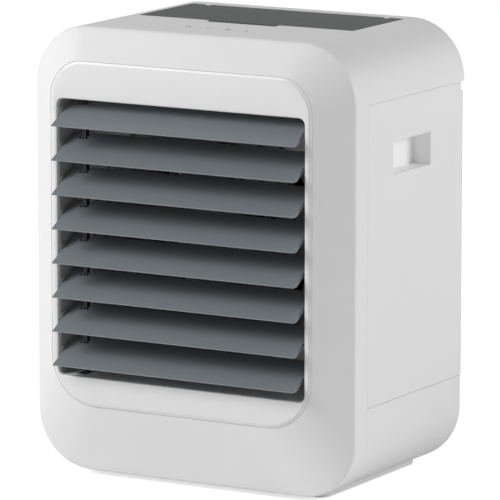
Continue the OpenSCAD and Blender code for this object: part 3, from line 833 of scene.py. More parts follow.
# ---- geometry trees ----
def geometry_tree(name, inputs):
    """A new geometry tree with named inputs; its result is joined to the output by growing_end."""
    tree = bpy.data.node_groups.new(name, "GeometryNodeTree")
    tree.interface.new_socket("Geometry", in_out="INPUT", socket_type="NodeSocketGeometry")
    for label, kind, value in inputs:
        socket = tree.interface.new_socket(label, in_out="INPUT", socket_type="NodeSocket" + kind)
        if value is not None:
            socket.default_value = value
    tree.interface.new_socket("Finish", in_out="INPUT", socket_type="NodeSocketMaterial")
    tree.interface.new_socket("Geometry", in_out="OUTPUT", socket_type="NodeSocketGeometry")
    return tree, wire(tree, "NodeGroupInput").outputs


def growing_end(tree, given, geometry):
    real = result(tree, "GeometryNodeRealizeInstances", {0: geometry})
    done = result(tree, "GeometryNodeSetMaterial", {"Geometry": real, "Material": given["Finish"]})
    tree.links.new(done, wire(tree, "NodeGroupOutput").inputs[0])
    return tree


def combined(tree, **parts):
    return result(tree, "ShaderNodeCombineXYZ", parts)


def on_points(tree, points, part, **more):
    """A part on each point. more may turn and scale it."""
    return result(tree, "GeometryNodeInstanceOnPoints", {"Points": points, "Instance": part, **more})


def round_y(tree, part, count):
    """A part repeated count times at even turns round the Y axis."""
    points = result(tree, "GeometryNodeMeshLine", {"Count": count, "Offset": (0, 0, 0)})
    step = maths(tree, "DIVIDE", 2 * math.pi, count)
    angle = maths(tree, "MULTIPLY", result(tree, "GeometryNodeInputIndex"), step)
    turn = result(tree, "FunctionNodeEulerToRotation", {0: combined(tree, Y=angle)})
    return on_points(tree, points, part, Rotation=turn)


def tree_copies():
    """Copies of a part on each given point, all turned the same way."""
    tree, given = geometry_tree(
        "copies_on_points", [("Part", "Object", None), ("Turn", "Vector", (0, 0, 0))]
    )
    part = wire(tree, "GeometryNodeObjectInfo", {}, {"Object": given["Part"]}).outputs["Geometry"]
    turn = result(tree, "FunctionNodeEulerToRotation", {0: given["Turn"]})
    return growing_end(tree, given, on_points(tree, given["Geometry"], part, Rotation=turn))


def tree_round_axis():
    """A part repeated evenly round the Y axis."""
    tree, given = geometry_tree("copies_round_axis", [("Part", "Object", None), ("Count", "Int", 7)])
    part = wire(tree, "GeometryNodeObjectInfo", {}, {"Object": given["Part"]}).outputs["Geometry"]
    return growing_end(tree, given, round_y(tree, part, given["Count"]))


def tree_guard():
    """Concentric wire rings in the XZ plane, on radial wires just behind them."""
    tree, given = geometry_tree("wire_guard", [
        ("Rings", "Int", 9), (
            "First Radius", "Float", 16.0
        ), ("Spacing", "Float", 9.0), ("Wire", "Float", 1.0),
        ("Spokes", "Int", 4), ("Spoke Length", "Float", 87.0),
    ])
    thread = result(tree, "GeometryNodeCurvePrimitiveCircle", {"Resolution": 8, "Radius": given["Wire"]})
    ring = result(tree, "GeometryNodeCurvePrimitiveCircle", {"Resolution": 72, "Radius": 1.0})
    points = result(tree, "GeometryNodeMeshLine", {"Count": given["Rings"], "Offset": (0, 0, 0)})
    index = result(tree, "GeometryNodeInputIndex")
    radius = maths(tree, "MULTIPLY_ADD", index, given["Spacing"], given["First Radius"])
    size = combined(tree, X=radius, Y=radius, Z=radius)
    rings = on_points(tree, points, ring, Rotation=(math.pi / 2, 0, 0), Scale=size)
    real = result(tree, "GeometryNodeRealizeInstances", {0: rings})
    rings = result(tree, "GeometryNodeCurveToMesh", {"Curve": real, "Profile Curve": thread})
    reach = combined(tree, X=given["Spoke Length"])
    line = result(tree, "GeometryNodeCurvePrimitiveLine", {"Start": (8, 0, 0), "End": reach})
    spoke = result(
        tree, "GeometryNodeCurveToMesh", {"Curve": line, "Profile Curve": thread, "Fill Caps": True}
    )
    spokes = round_y(tree, spoke, given["Spokes"])
    behind = result(tree, "GeometryNodeTransform", {"Geometry": spokes, "Translation": (0, 1.4, 0)})
    both = wire(tree, "GeometryNodeJoinGeometry")
    for part in (rings, behind):
        tree.links.new(part, both.inputs[0])
    return growing_end(tree, given, both.outputs[0])


def tree_pad():
    """Crimped sheets side by side along X, with flutes that lean one way and the other in turn."""
    tree, given = geometry_tree("crimped_pad", [
        ("Sheets", "Int", 27), ("Pitch", "Float", 7.1), ("Depth", "Float", 26.0), (
            "Height", "Float", 172.0
        ),
        ("Flute", "Float", 11.0), ("Crimp", "Float", 3.2), ("Lean", "Float", 0.7),
    ])
    sheet = result(tree, "GeometryNodeMeshGrid", {
        "Size X": given["Depth"], "Size Y": given["Height"], "Vertices X": 16, "Vertices Y": 96,
    })
    place = result(tree, "GeometryNodeInputPosition")
    parts = wire(tree, "ShaderNodeSeparateXYZ", {}, {0: place}).outputs
    phase = maths(tree, "MULTIPLY_ADD", parts[0], given["Lean"], parts[1])
    turn = maths(tree, "DIVIDE", maths(tree, "MULTIPLY", phase, 2 * math.pi), given["Flute"])
    lift = maths(tree, "MULTIPLY", maths(tree, "SINE", turn), given["Crimp"])
    crimped = result(tree, "GeometryNodeSetPosition", {"Geometry": sheet, "Offset": combined(tree, Z=lift)})
    points = result(
        tree, "GeometryNodeMeshLine", {"Count": given["Sheets"], "Offset": combined(tree, X=given["Pitch"])}
    )
    index = result(tree, "GeometryNodeInputIndex")
    odd = maths(tree, "MODULO", index, 2.0)
    upright = combined(tree, X=math.pi / 2, Y=maths(tree, "MULTIPLY", odd, math.pi), Z=math.pi / 2)
    turned = result(tree, "FunctionNodeEulerToRotation", {0: upright})
    return growing_end(tree, given, on_points(tree, points, crimped, Rotation=turned))


def tree_net():
    """A net of straight threads in the XZ plane."""
    tree, given = geometry_tree("thread_net", [
        ("Width", "Float", 170.0), (
            "Height", "Float", 158.0
        ), ("Across", "Int", 68), ("Up", "Int", 63), ("Thread", "Float", 0.3),
    ])
    whole_net = wire(tree, "GeometryNodeJoinGeometry")
    for count, span, reach, along, upon in (
        ("Across", "Width", "Height", "X", "Z"),
        ("Up", "Height", "Width", "Z", "X"),
    ):
        size = {along: given["Thread"], "Y": given["Thread"], upon: given[reach]}
        bar = result(tree, "GeometryNodeMeshCube", {"Size": combined(tree, **size)})
        first, last = (maths(tree, "MULTIPLY", given[span], share) for share in (-0.5, 0.5))
        inputs = {
            "Count": given[count],
            "Start Location": combined(tree, **{along: first}),
            "Offset": combined(tree, **{along: last}),
        }
        line = result(tree, "GeometryNodeMeshLine", inputs, {"mode": "END_POINTS"})
        tree.links.new(on_points(tree, line, bar), whole_net.inputs[0])
    return growing_end(tree, given, whole_net.outputs[0])


def tree_springs():
    """A coil spring standing on each given point."""
    tree, given = geometry_tree("touch_springs_coils", [
        ("Turns", "Float", 4.5), (
            "Radius", "Float", 3.6
        ), ("Height", "Float", 7.6), ("Wire", "Float", 0.35),
    ])
    coil = result(tree, "GeometryNodeCurveSpiral", {
        "Resolution": 24, "Rotations": given["Turns"], "Height": given["Height"],
        "Start Radius": given["Radius"], "End Radius": given["Radius"],
    })
    thread = result(tree, "GeometryNodeCurvePrimitiveCircle", {"Resolution": 6, "Radius": given["Wire"]})
    spring = result(
        tree, "GeometryNodeCurveToMesh", {"Curve": coil, "Profile Curve": thread, "Fill Caps": True}
    )
    return growing_end(tree, given, on_points(tree, given["Geometry"], spring))


def grown(tree, finish_name, values, points=((0, 0, 0),)):
    """Runs a tree on loose points and returns the plain result as a bmesh, in millimetres."""
    values = dict(values, Finish=FINISHES[finish_name])
    seed = bpy.data.meshes.new("seed")
    seed.from_pydata([tuple(p) for p in points], [], [])
    holder = bpy.data.objects.new("seed", seed)
    bpy.context.scene.collection.objects.link(holder)
    modifier = holder.modifiers.new("grow", "NODES")
    modifier.node_group = tree
    for item in tree.interface.items_tree:
        if item.item_type == "SOCKET" and item.in_out == "INPUT" and item.name in values:
            modifier[item.identifier] = values[item.name]
    bpy.context.view_layer.update()
    result = bpy.data.meshes.new_from_object(holder.evaluated_get(bpy.context.evaluated_depsgraph_get()))
    bm = bmesh.new()
    bm.from_mesh(result)
    bpy.data.objects.remove(holder)
    bpy.data.meshes.remove(result)
    for face in bm.faces:
        face.material_index = 0
    return bm


def shifted(bm, offset):
    bmesh.ops.translate(bm, vec=Vector(offset), verts=bm.verts)
    return bm


def join(bm, other):
    """Adds another bmesh's faces to bm, and frees it."""
    mesh = bpy.data.meshes.new("joined")
    other.to_mesh(mesh)
    other.free()
    bm.from_mesh(mesh)
    bpy.data.meshes.remove(mesh)
    return bm


def solids_of(node):
    """Lowest and highest corner of each separate solid of a CAD node, in millimetres."""
    bm = copy_of(node)
    left, found = set(bm.verts), []
    while left:
        todo, solid = [left.pop()], []
        while todo:
            vert = todo.pop()
            solid.append(vert.co)
            for edge in vert.link_edges:
                other = edge.other_vert(vert)
                if other in left:
                    left.remove(other)
                    todo.append(other)
        found.append((Vector(map(min, zip(*solid))), Vector(map(max, zip(*solid)))))
    bm.free()
    return sorted(found, key=lambda box: tuple(round(v, 2) for v in box[0]))


# ---- fasteners ----
def draw_screw(head_r, head_t, shank_r, length):
    """A pan head screw along Z, its head above Z 0, with a cross recess and a shank ringed by ridges."""
    bm = bmesh.new()
    add_lathe(
        bm,
        [(head_r, 0), (head_r, head_t * 0.35), (head_r * 0.94, head_t * 0.7), (head_r * 0.8, head_t)],
        (0, 0, 0),
        "Z",
        24,
    )
    bm.faces.ensure_lookup_table()
    bm.faces.remove(bm.faces[-1])
    rim = [v for v in bm.verts if v.co.z > head_t - 0.001]
    rim_edges = [e for e in bm.edges if e.verts[0] in rim and e.verts[1] in rim]
    wide, reach = head_r * 0.13, head_r * 0.52
    corners = [(reach, wide), (wide, wide), (wide, reach)]
    outline = []
    for k in range(4):
        turn = Matrix.Rotation(k * math.pi / 2, 2)
        outline += [turn @ Vector(c) for c in corners]
    cross = [bm.verts.new((x, y, head_t)) for x, y in outline]
    floor = [bm.verts.new((x * 0.7, y * 0.7, head_t * 0.35)) for x, y in outline]
    count = len(outline)
    cross_edges = [bm.edges.new((cross[k], cross[(k + 1) % count])) for k in range(count)]
    bmesh.ops.triangle_fill(bm, edges=rim_edges + cross_edges, use_beauty=True)
    for k in range(count):
        bm.faces.new((cross[k], cross[(k + 1) % count], floor[(k + 1) % count], floor[k]))
    bm.faces.new(floor)
    turns = max(3, round(length / 0.9))
    thread = [(shank_r * 0.5, -length)]
    for k in range(turns):
        z = -length + 0.4 + k * (length - 0.4) / turns
        thread += [(shank_r * 0.8, z), (shank_r, z + 0.3)]
    add_lathe(bm, thread + [(shank_r * 0.8, 0.05)], (0, 0, 0), "Z", 12)
    bmesh.ops.recalc_face_normals(bm, faces=bm.faces)
    return bm


# ---- fan ----
SHAFT_LOW, SHAFT_HIGH = local_box("fan_shaft")
BLADES = 7
BLADE_STATIONS = 10
BLADE_SIDES = 22
GUARD_Y = 35.4  # depth of the guard's rings
POLES = 6
POLE_SHEETS = 9
COIL_TURNS = 10
FAN_CENTRE = Vector((0, 0, (SHAFT_LOW.z + SHAFT_HIGH.z) / 2))
FAN_LOW, FAN_HIGH = local_box("impeller")
STATOR_LOW, STATOR_HIGH = local_box("fan_stator")


def draw_blade(radius, hub):
    """A twisted and cambered blade along X, thicker at its root, round the fan's centre."""
    bm = bmesh.new()
    rings = []
    for k in range(BLADE_STATIONS + 1):
        share = k / BLADE_STATIONS
        r = hub - 1.5 + (radius - hub + 1.5) * share
        pitch = math.radians(38 - 19 * share)
        chord, sweep = 24 + 22 * share, 0.3 * share**1.5
        ring = []
        for j in range(BLADE_SIDES):
            a = 2 * math.pi * j / BLADE_SIDES
            along = 0.5 * math.cos(a)
            rise = 2.4 * (1 - 4 * along * along) + (1.1 - 0.3 * share) * math.sin(a) * (1.05 - 0.5 * along)
            turn = (along * chord * math.cos(pitch) + rise * math.sin(pitch)) / r + sweep
            y = rise * math.cos(pitch) - along * chord * math.sin(pitch)
            ring.append(bm.verts.new((r * math.cos(turn), y, r * math.sin(turn))))
        rings.append(ring)
    for low, high in zip(rings, rings[1:]):
        for j in range(BLADE_SIDES):
            n = (j + 1) % BLADE_SIDES
            bm.faces.new((low[j], low[n], high[n], high[j]))
    bm.faces.new(rings[0])
    bm.faces.new(rings[-1])
    bmesh.ops.recalc_face_normals(bm, faces=bm.faces)
    return bm


def draw_impeller(s, trees):
    """Seven blades on a hub with a boss for the shaft, and with ribs and a magnet ring inside."""
    blade = linked_object(draw_blade(FAN_HIGH.x, s["hub"]), "blade")
    bm = grown(trees["round_axis"], "impeller_grey", {"Part": blade, "Count": BLADES})
    bpy.data.objects.remove(blade)
    shifted(bm, FAN_CENTRE + Vector((0, FAN_LOW.y + 9.6, 0)))
    y, hub = FAN_LOW.y, s["hub"]
    face = [
        (0, y + 0.5), (8, y + 0.5), (9, y), (hub - 5, y), (hub - 1.5, y + 0.9), (hub, y + 3), (hub, y + 20)
    ]
    inner = [
        (hub - 2.5, y + 20),
        (hub - 2.5, y + 4),
        (hub - 5, y + 2.4),
        (4.4, y + 2.4),
        (4, y + 5.2),
        (0, y + 5.2),
    ]
    add_lathe(bm, face + inner, FAN_CENTRE, "Y", 72)
    for k in range(6):
        rib = bmesh.new()
        add_box(rib, (4, y + 2, -0.6), (hub - 3, y + 4.4, 0.6))
        bmesh.ops.rotate(rib, verts=rib.verts, matrix=Matrix.Rotation(k * math.pi / 3, 3, "Y"))
        join(bm, shifted(rib, FAN_CENTRE))
    tube(bm, [(25, y + 5), (hub - 2.4, y + 5), (hub - 2.4, y + 18), (25, y + 18)], FAN_CENTRE, "Y", 64, 1)
    return bm


def draw_stator():
    """Laminated poles with a wound coil on each, round the bearing tube."""
    core, coils = bmesh.new(), bmesh.new()
    y0, y1, reach = STATOR_LOW.y, STATOR_HIGH.y, STATOR_HIGH.x
    tube(core, [(5.02, y0), (7.5, y0), (7.5, y1), (5.02, y1)], FAN_CENTRE, "Y", 32)
    for k in range(POLES):
        turn = Matrix.Rotation(k * 2 * math.pi / POLES, 3, "Y")
        pole, coil = bmesh.new(), bmesh.new()
        for sheet in range(POLE_SHEETS):
            y = y0 + 4.2 + sheet * 1.2
            add_box(pole, (7, y, -2.4), (reach - 3.5, y + 1, 2.4))
            outline = [(reach - 3.6, -7), (reach - 2.1, -8.6), (reach - 0.8, -4.4), (reach - 0.1, 0)]
            outline += [(reach - 0.8, 4.4), (reach - 2.1, 8.6), (reach - 3.6, 7)]
            skins = [[pole.verts.new((x, level, z)) for x, z in outline] for level in (y, y + 1)]
            pole.faces.new(skins[0])
            pole.faces.new(skins[1][::-1])
            for j in range(len(outline)):
                n = (j + 1) % len(outline)
                pole.faces.new((skins[0][j], skins[1][j], skins[1][n], skins[0][n]))
        for turns in range(COIL_TURNS):
            x = 8.4 + turns * 1.15
            grow = 1.6 + 1.3 * math.sin(math.pi * (turns + 0.5) / COIL_TURNS)
            rings = []
            for offset, bulge in ((0.55, 0), (0.4, 0.4), (0, 0.55), (-0.4, 0.4), (-0.55, 0)):
                half_z, half_y = 2.4 + grow + bulge, 5.4 + grow + bulge
                loop = rounded(half_z, -half_y, half_y, 2, 2)
                rings.append([coil.verts.new((x + offset, (y0 + y1) / 2 + b, a)) for a, b in loop])
            for low, high in zip(rings, rings[1:]):
                for j in range(len(low)):
                    n = (j + 1) % len(low)
                    coil.faces.new((low[j], low[n], high[n], high[j]))
            coil.faces.new(rings[0])
            coil.faces.new(rings[-1])
        for target, piece in ((core, pole), (coils, coil)):
            bmesh.ops.recalc_face_normals(piece, faces=piece.faces)
            bmesh.ops.rotate(piece, verts=piece.verts, matrix=turn)
            join(target, shifted(piece, FAN_CENTRE))
    bmesh.ops.recalc_face_normals(core, faces=core.faces)
    return core, coils


def draw_bearings():
    """Two bearings, each with its races and a recessed shield between them."""
    bm = bmesh.new()
    for low, high in solids_of("fan_bearings"):
        r, y0, y1 = high.x, low.y, high.y
        front = [(2.1, y0), (3, y0), (3.1, y0 + 0.35), (4, y0 + 0.35), (4.1, y0), (r, y0)]
        back = [(r, y1), (4.1, y1), (4, y1 - 0.35), (3.1, y1 - 0.35), (3, y1), (2.1, y1)]
        tube(bm, front + back, FAN_CENTRE, "Y", 40)
    return bm


def tube(bm, profile, centre, axis, steps, slot=0):
    """Turns a closed profile round an axis that it doesn't touch."""
    ring = bmesh.new()
    add_lathe(ring, profile + profile[:1], centre, axis, steps, slot)
    ring.faces.ensure_lookup_table()
    bmesh.ops.delete(ring, geom=list(ring.faces)[-2:], context="FACES_ONLY")
    bmesh.ops.remove_doubles(ring, verts=ring.verts, dist=0.002)
    bmesh.ops.recalc_face_normals(ring, faces=ring.faces)
    join(bm, ring)


# ---- filter ----
PAD_LOW, PAD_HIGH = local_box("filter_pad")
SCREEN_LOW, SCREEN_HIGH = local_box("dust_screen")


def draw_wet_media(trees):
    """Crimped paper sheets that stand side by side, each with a real thickness."""
    pitch = 7.1
    sheets = int((PAD_HIGH.x - PAD_LOW.x - 7) / pitch) + 1  # 3.5 mm is left free at each side
    depth, height = PAD_HIGH.y - PAD_LOW.y - 1.2, PAD_HIGH.z - PAD_LOW.z - 1
    bm = grown(trees["pad"], "wick", {"Sheets": sheets, "Pitch": pitch, "Depth": depth, "Height": height})
    middle = (PAD_LOW + PAD_HIGH) / 2
    shifted(bm, (middle.x - (sheets - 1) * pitch / 2, middle.y, middle.z))
    bmesh.ops.solidify(bm, geom=list(bm.faces), thickness=0.45)
    bmesh.ops.recalc_face_normals(bm, faces=bm.faces)
    return bm


def draw_screen_net(trees):
    width, height = SCREEN_HIGH.x - SCREEN_LOW.x - 7, SCREEN_HIGH.z - SCREEN_LOW.z - 7
    values = {
        "Width": width,
        "Height": height,
        "Across": int(width / 1.6),
        "Up": int(height / 1.6),
        "Thread": 0.32,
    }
    middle = (SCREEN_LOW + SCREEN_HIGH) / 2
    return shifted(grown(trees["net"], "screen", values), (middle.x, middle.y - 0.15, middle.z))


def draw_screen_frame():
    """Flat frame round the net with two cross bars and a pull tab."""
    bm = bmesh.new()
    low, high = SCREEN_LOW, SCREEN_HIGH
    bar = 4
    add_box(bm, low, (low.x + bar, high.y, high.z))
    add_box(bm, (high.x - bar, low.y, low.z), high)
    add_box(bm, (low.x + bar, low.y, low.z), (high.x - bar, high.y, low.z + bar))
    add_box(bm, (low.x + bar, low.y, high.z - bar), (high.x - bar, high.y, high.z))
    for share in (1 / 3, 2 / 3):
        x = low.x + (high.x - low.x) * share
        add_box(bm, (x - 1, low.y + 0.3, low.z + bar), (x + 1, high.y - 0.3, high.z - bar))
    add_box(bm, (-9, low.y - 0.1, high.z - bar - 5), (9, high.y - 0.9, high.z - bar))
    bmesh.ops.remove_doubles(bm, verts=bm.verts, dist=0.002)
    bmesh.ops.recalc_face_normals(bm, faces=bm.faces)
    return bm


# ---- electrics ----
BOARD_T = 1.6  # thickness of both boards
BODY_SLOT = 0  # finish of the bodies of small parts
METAL_SLOT = 1  # finish of their pins and end caps


def add_chip(bm, centre, size, pins, pitch):
    """A chip body lying on a board at centre, with a dot and gull wing pins along X."""
    x, y, z = centre
    w, d, h = size
    add_box(bm, (x - w / 2, y - d / 2, z + 0.15), (x + w / 2, y + d / 2, z + h), BODY_SLOT)
    add_lathe(
        bm, [(0.5, z + h), (0.5, z + h + 0.04)], (x - w / 2 + 1.1, y - d / 2 + 1.1, 0), "Z", 12, METAL_SLOT
    )
    for k in range(pins):
        px = x + (k - (pins - 1) / 2) * pitch
        for side in (-1, 1):
            near, far = y + side * (d / 2 - 0.05), y + side * (d / 2 + 0.5)
            add_box(
                bm,
                (px - 0.2, min(near, far), z + h * 0.45),
                (px + 0.2, max(near, far), z + h * 0.45 + 0.15),
                METAL_SLOT,
            )
            near, far = far - side * 0.15, far + side * 0.6
            add_box(bm, (px - 0.2, min(near, far), z), (px + 0.2, max(near, far), z + 0.15), METAL_SLOT)
            near, far = y + side * (d / 2 + 0.35), y + side * (d / 2 + 0.5)
            add_box(
                bm,
                (px - 0.2, min(near, far), z + 0.05),
                (px + 0.2, max(near, far), z + h * 0.5),
                METAL_SLOT,
            )


def add_passives(bm, rows, z):
    """Small resistors and capacitors: each row is (x, y, count, pitch, along)."""
    for x, y, count, pitch, along in rows:
        for k in range(count):
            cx, cy = (x + k * pitch, y) if along == "X" else (x, y + k * pitch)
            add_box(bm, (cx - 0.55, cy - 0.4, z), (cx + 0.55, cy + 0.4, z + 0.5), BODY_SLOT)
            for side in (-1, 1):
                near, far = sorted((cx + side * 0.5, cx + side * 0.95))
                add_box(bm, (near, cy - 0.42, z), (far, cy + 0.42, z + 0.53), METAL_SLOT)


def draw_main_parts():
    """Parts on the main board: capacitors, a coil, a driver chip, a cable header and small parts."""
    low, high = local_box("main_board")
    bm = bmesh.new()
    top = low.z + BOARD_T
    for x in (-44, -30, -16):
        can = [
            (3.7, top),
            (4, top + 0.4),
            (4, top + 1.2),
            (3.7, top + 1.6),
            (4, top + 2),
            (4, high.z - 0.6),
            (3.6, high.z),
        ]
        add_lathe(bm, can, (x, 74, 0), "Z", 40, 2)
        add_box(bm, (x - 2.6, 73.8, high.z - 0.02), (x + 2.6, 74.2, high.z + 0.02), 0)
    coil = [
        (5.2, top + 0.2),
        (5.2, top + 2),
        (4.2, top + 2.4),
        (4.2, top + 7.2),
        (5.2, top + 7.6),
        (5.2, top + 9.6),
    ]
    add_lathe(bm, coil, (-40, 57, 0), "Z", 32, 0)
    for k in range(6):
        ring = [(4.2, 0), (4.7, 0.15), (4.9, 0.4), (4.7, 0.65), (4.2, 0.8)]
        add_lathe(bm, [(r, top + 2.45 + k * 0.8 + h) for r, h in ring], (-40, 57, 0), "Z", 32, 3)
    add_chip(bm, (1, 59, top), (12, 8, 1.8), 8, 1.27)
    add_box(bm, (-26, 48, top), (-12, 53, top + 6), 4)
    add_box(bm, (-25.2, 48.8, top + 5.9), (-12.8, 52.2, top + 6.02), 0)
    for k in range(5):
        add_box(bm, (-24.1 + k * 2.5, 50.2, top + 5.5), (-23.5 + k * 2.5, 50.8, top + 8.6), 1)
    add_passives(
        bm,
        [(-9, 70, 6, 3.4, "X"), (-9, 73, 6, 3.4, "X"), (14.5, 56, 4, 2.6, "Y"), (-54, 58, 6, 2.4, "Y")],
        top,
    )
    for x, y in ((-22, 60), (-16, 60), (-9, 80), (2, 80)):
        add_lathe(bm, [(1.4, top), (1.5, top + 2.4), (1.1, top + 3)], (x, y, 0), "Z", 20, 4)
    return bm


def draw_control_parts():
    """Parts under the control board: a touch chip, a cable header and small parts."""
    low, high = local_box("control_board")
    bm = bmesh.new()
    under = high.z - BOARD_T
    chips, header = bmesh.new(), bmesh.new()
    add_chip(chips, (-14, -56, 0), (9, 5, 1.5), 8, 0.95)
    add_passives(chips, [(-30, -42, 8, 3, "X"), (-3, -55, 3, 3, "X"), (28, -56, 3, 3.2, "X")], 0)
    bmesh.ops.rotate(chips, verts=chips.verts, matrix=Matrix.Rotation(math.pi, 3, "X"))
    join(bm, shifted(chips, (0, 0, under)))
    add_box(header, (10, 53, low.z), (26, 60, under), 4)
    add_box(header, (10.8, 53.8, low.z - 0.02), (25.2, 59.2, low.z + 0.3), 0)
    return join(bm, header)


def draw_inlet():
    """Power socket: a body, a round nose with a rolled rim, and a centre pin."""
    low, high = local_box("dc_inlet")
    centre = Vector(((low.x + high.x) / 2, 0, (low.z + high.z) / 2))
    bm = bmesh.new()
    back = high.y - 2.6
    add_box(bm, (low.x, low.y, low.z), (high.x, back, high.z), 0)
    nose = [
        (3.1, low.y + 5),
        (3.1, high.y - 0.2),
        (3.3, high.y),
        (3.9, high.y),
        (4.1, high.y - 0.2),
        (4.1, low.y + 5),
    ]
    tube(bm, nose, centre, "Y", 40)
    pin = [(0, low.y + 5), (0.95, low.y + 5), (0.95, high.y - 1.6), (0.5, high.y - 1.1), (0, high.y - 1.1)]
    add_lathe(bm, pin, centre, "Y", 20, 1)
    return bm


def cut_to_board(bm, bottom, top):
    """Keeps only the flat board of a CAD board, without its plain block parts."""
    for level, side in ((bottom, -1), (top, 1)):
        geometry = list(bm.verts) + list(bm.edges) + list(bm.faces)
        bmesh.ops.bisect_plane(
            bm, geom=geometry, plane_co=(0, 0, level), plane_no=(0, 0, side), clear_outer=True, dist=0.001
        )
    bmesh.ops.remove_doubles(bm, verts=bm.verts, dist=0.005)
    bmesh.ops.holes_fill(bm, edges=[e for e in bm.edges if len(e.link_faces) == 1], sides=0)
    bmesh.ops.recalc_face_normals(bm, faces=bm.faces)


# ---- small parts ----
def draw_feet():
    """Four turned rubber feet with a chamfer and a grip ring underneath."""
    bm = bmesh.new()
    for low, high in solids_of("rubber_feet"):
        r, z0, z1 = (high.x - low.x) / 2, low.z, high.z
        profile = [(0, z0 + 0.4), (r * 0.45, z0 + 0.4), (r * 0.5, z0), (r * 0.68, z0), (r * 0.73, z0 + 0.3)]
        profile += [(r * 0.78, z0), (r - 0.5, z0), (r, z0 + 0.6), (r, z1), (0, z1)]
        add_lathe(bm, profile, ((low.x + high.x) / 2, (low.y + high.y) / 2, 0), "Z", 48)
    return bm


def draw_spring_caps():
    """Flat ends of the touch springs: a foot on the board and a disc under the deck."""
    bm = bmesh.new()
    for low, high in solids_of("touch_springs"):
        centre = ((low.x + high.x) / 2, (low.y + high.y) / 2, 0)
        for z0, z1 in ((low.z, low.z + 0.5), (high.z - 0.5, high.z)):
            tube(bm, [(1.6, z0), (4, z0), (4, z1), (1.6, z1)], centre, "Z", 32)
    return bm


def draw_touch_marks(s):
    """Four generic touch marks on the deck: a ring with a stroke, three dots, three bars and two dots."""
    bm = bmesh.new()
    places = [((low.x + high.x) / 2, (low.y + high.y) / 2) for low, high in solids_of("touch_springs")]
    top = s["height"]
    z0, z1 = top - 0.02, top + 0.03
    for k, (x, y) in enumerate(places):
        r = s["mark"]
        if k == 0:
            tube(bm, [(r - 0.55, z0), (r, z0), (r, z1), (r - 0.55, z1)], (x, y, 0), "Z", 32)
            add_box(bm, (x - 0.28, y + r * 0.1, z0), (x + 0.28, y + r * 1.25, z1))
        elif k == 1:
            for turn in range(3):
                a = turn * 2 * math.pi / 3
                add_lathe(
                    bm,
                    [(0.62, z0), (0.62, z1)],
                    (x + 1.15 * math.cos(a), y + 1.15 * math.sin(a), 0),
                    "Z",
                    20,
                )
        elif k == 2:
            for row in (-1.1, 0, 1.1):
                add_box(bm, (x - r, y + row - 0.25, z0), (x + r, y + row + 0.25, z1))
        else:
            add_lathe(bm, [(0.9, z0), (0.9, z1)], (x, y - 0.4, 0), "Z", 24)
            add_lathe(bm, [(0.45, z0), (0.45, z1)], (x, y + 0.9, 0), "Z", 20)
    return bm


HEADS = {"rear": (-math.pi / 2, 0, 0), "up": (0, 0, 0), "down": (math.pi, 0, 0)}


def screws_at(node, trees, head_r, head_t, shank_r, facing, wanted=lambda low, high: True):
    """Cross recess screws in place of a node's plain ones, with their heads facing one way."""
    found = [(low, high) for low, high in solids_of(node) if wanted(low, high)]
    low, high = found[0]
    reach = (high.y - low.y if facing == "rear" else high.z - low.z) - head_t
    screw = linked_object(draw_screw(head_r, head_t, shank_r, reach), "screw")
    seats = []
    for low, high in found:
        middle = (low + high) / 2
        if facing == "rear":
            seats.append((middle.x, high.y - head_t, middle.z))
        else:
            seats.append((middle.x, middle.y, high.z - head_t if facing == "up" else low.z + head_t))
    bm = grown(trees["copies"], "steel", {"Part": screw, "Turn": HEADS[facing]}, seats)
    bpy.data.objects.remove(screw)
    return bm


# ---- stage ----
LIGHT_SIZE = 1.2  # metres
LIGHT_AIM = Vector((0, 0, 0.15))


def area_light(name, place, power):
    lamp = bpy.data.lights.new(name, "AREA")
    lamp.shape = "RECTANGLE"
    lamp.size = lamp.size_y = LIGHT_SIZE
    lamp.energy = power
    light = bpy.data.objects.new(name, lamp)
    bpy.context.scene.collection.objects.link(light)
    light.location = place
    light.rotation_mode = "QUATERNION"
    light.rotation_quaternion = (LIGHT_AIM - Vector(place)).to_track_quat("-Z", "Y")


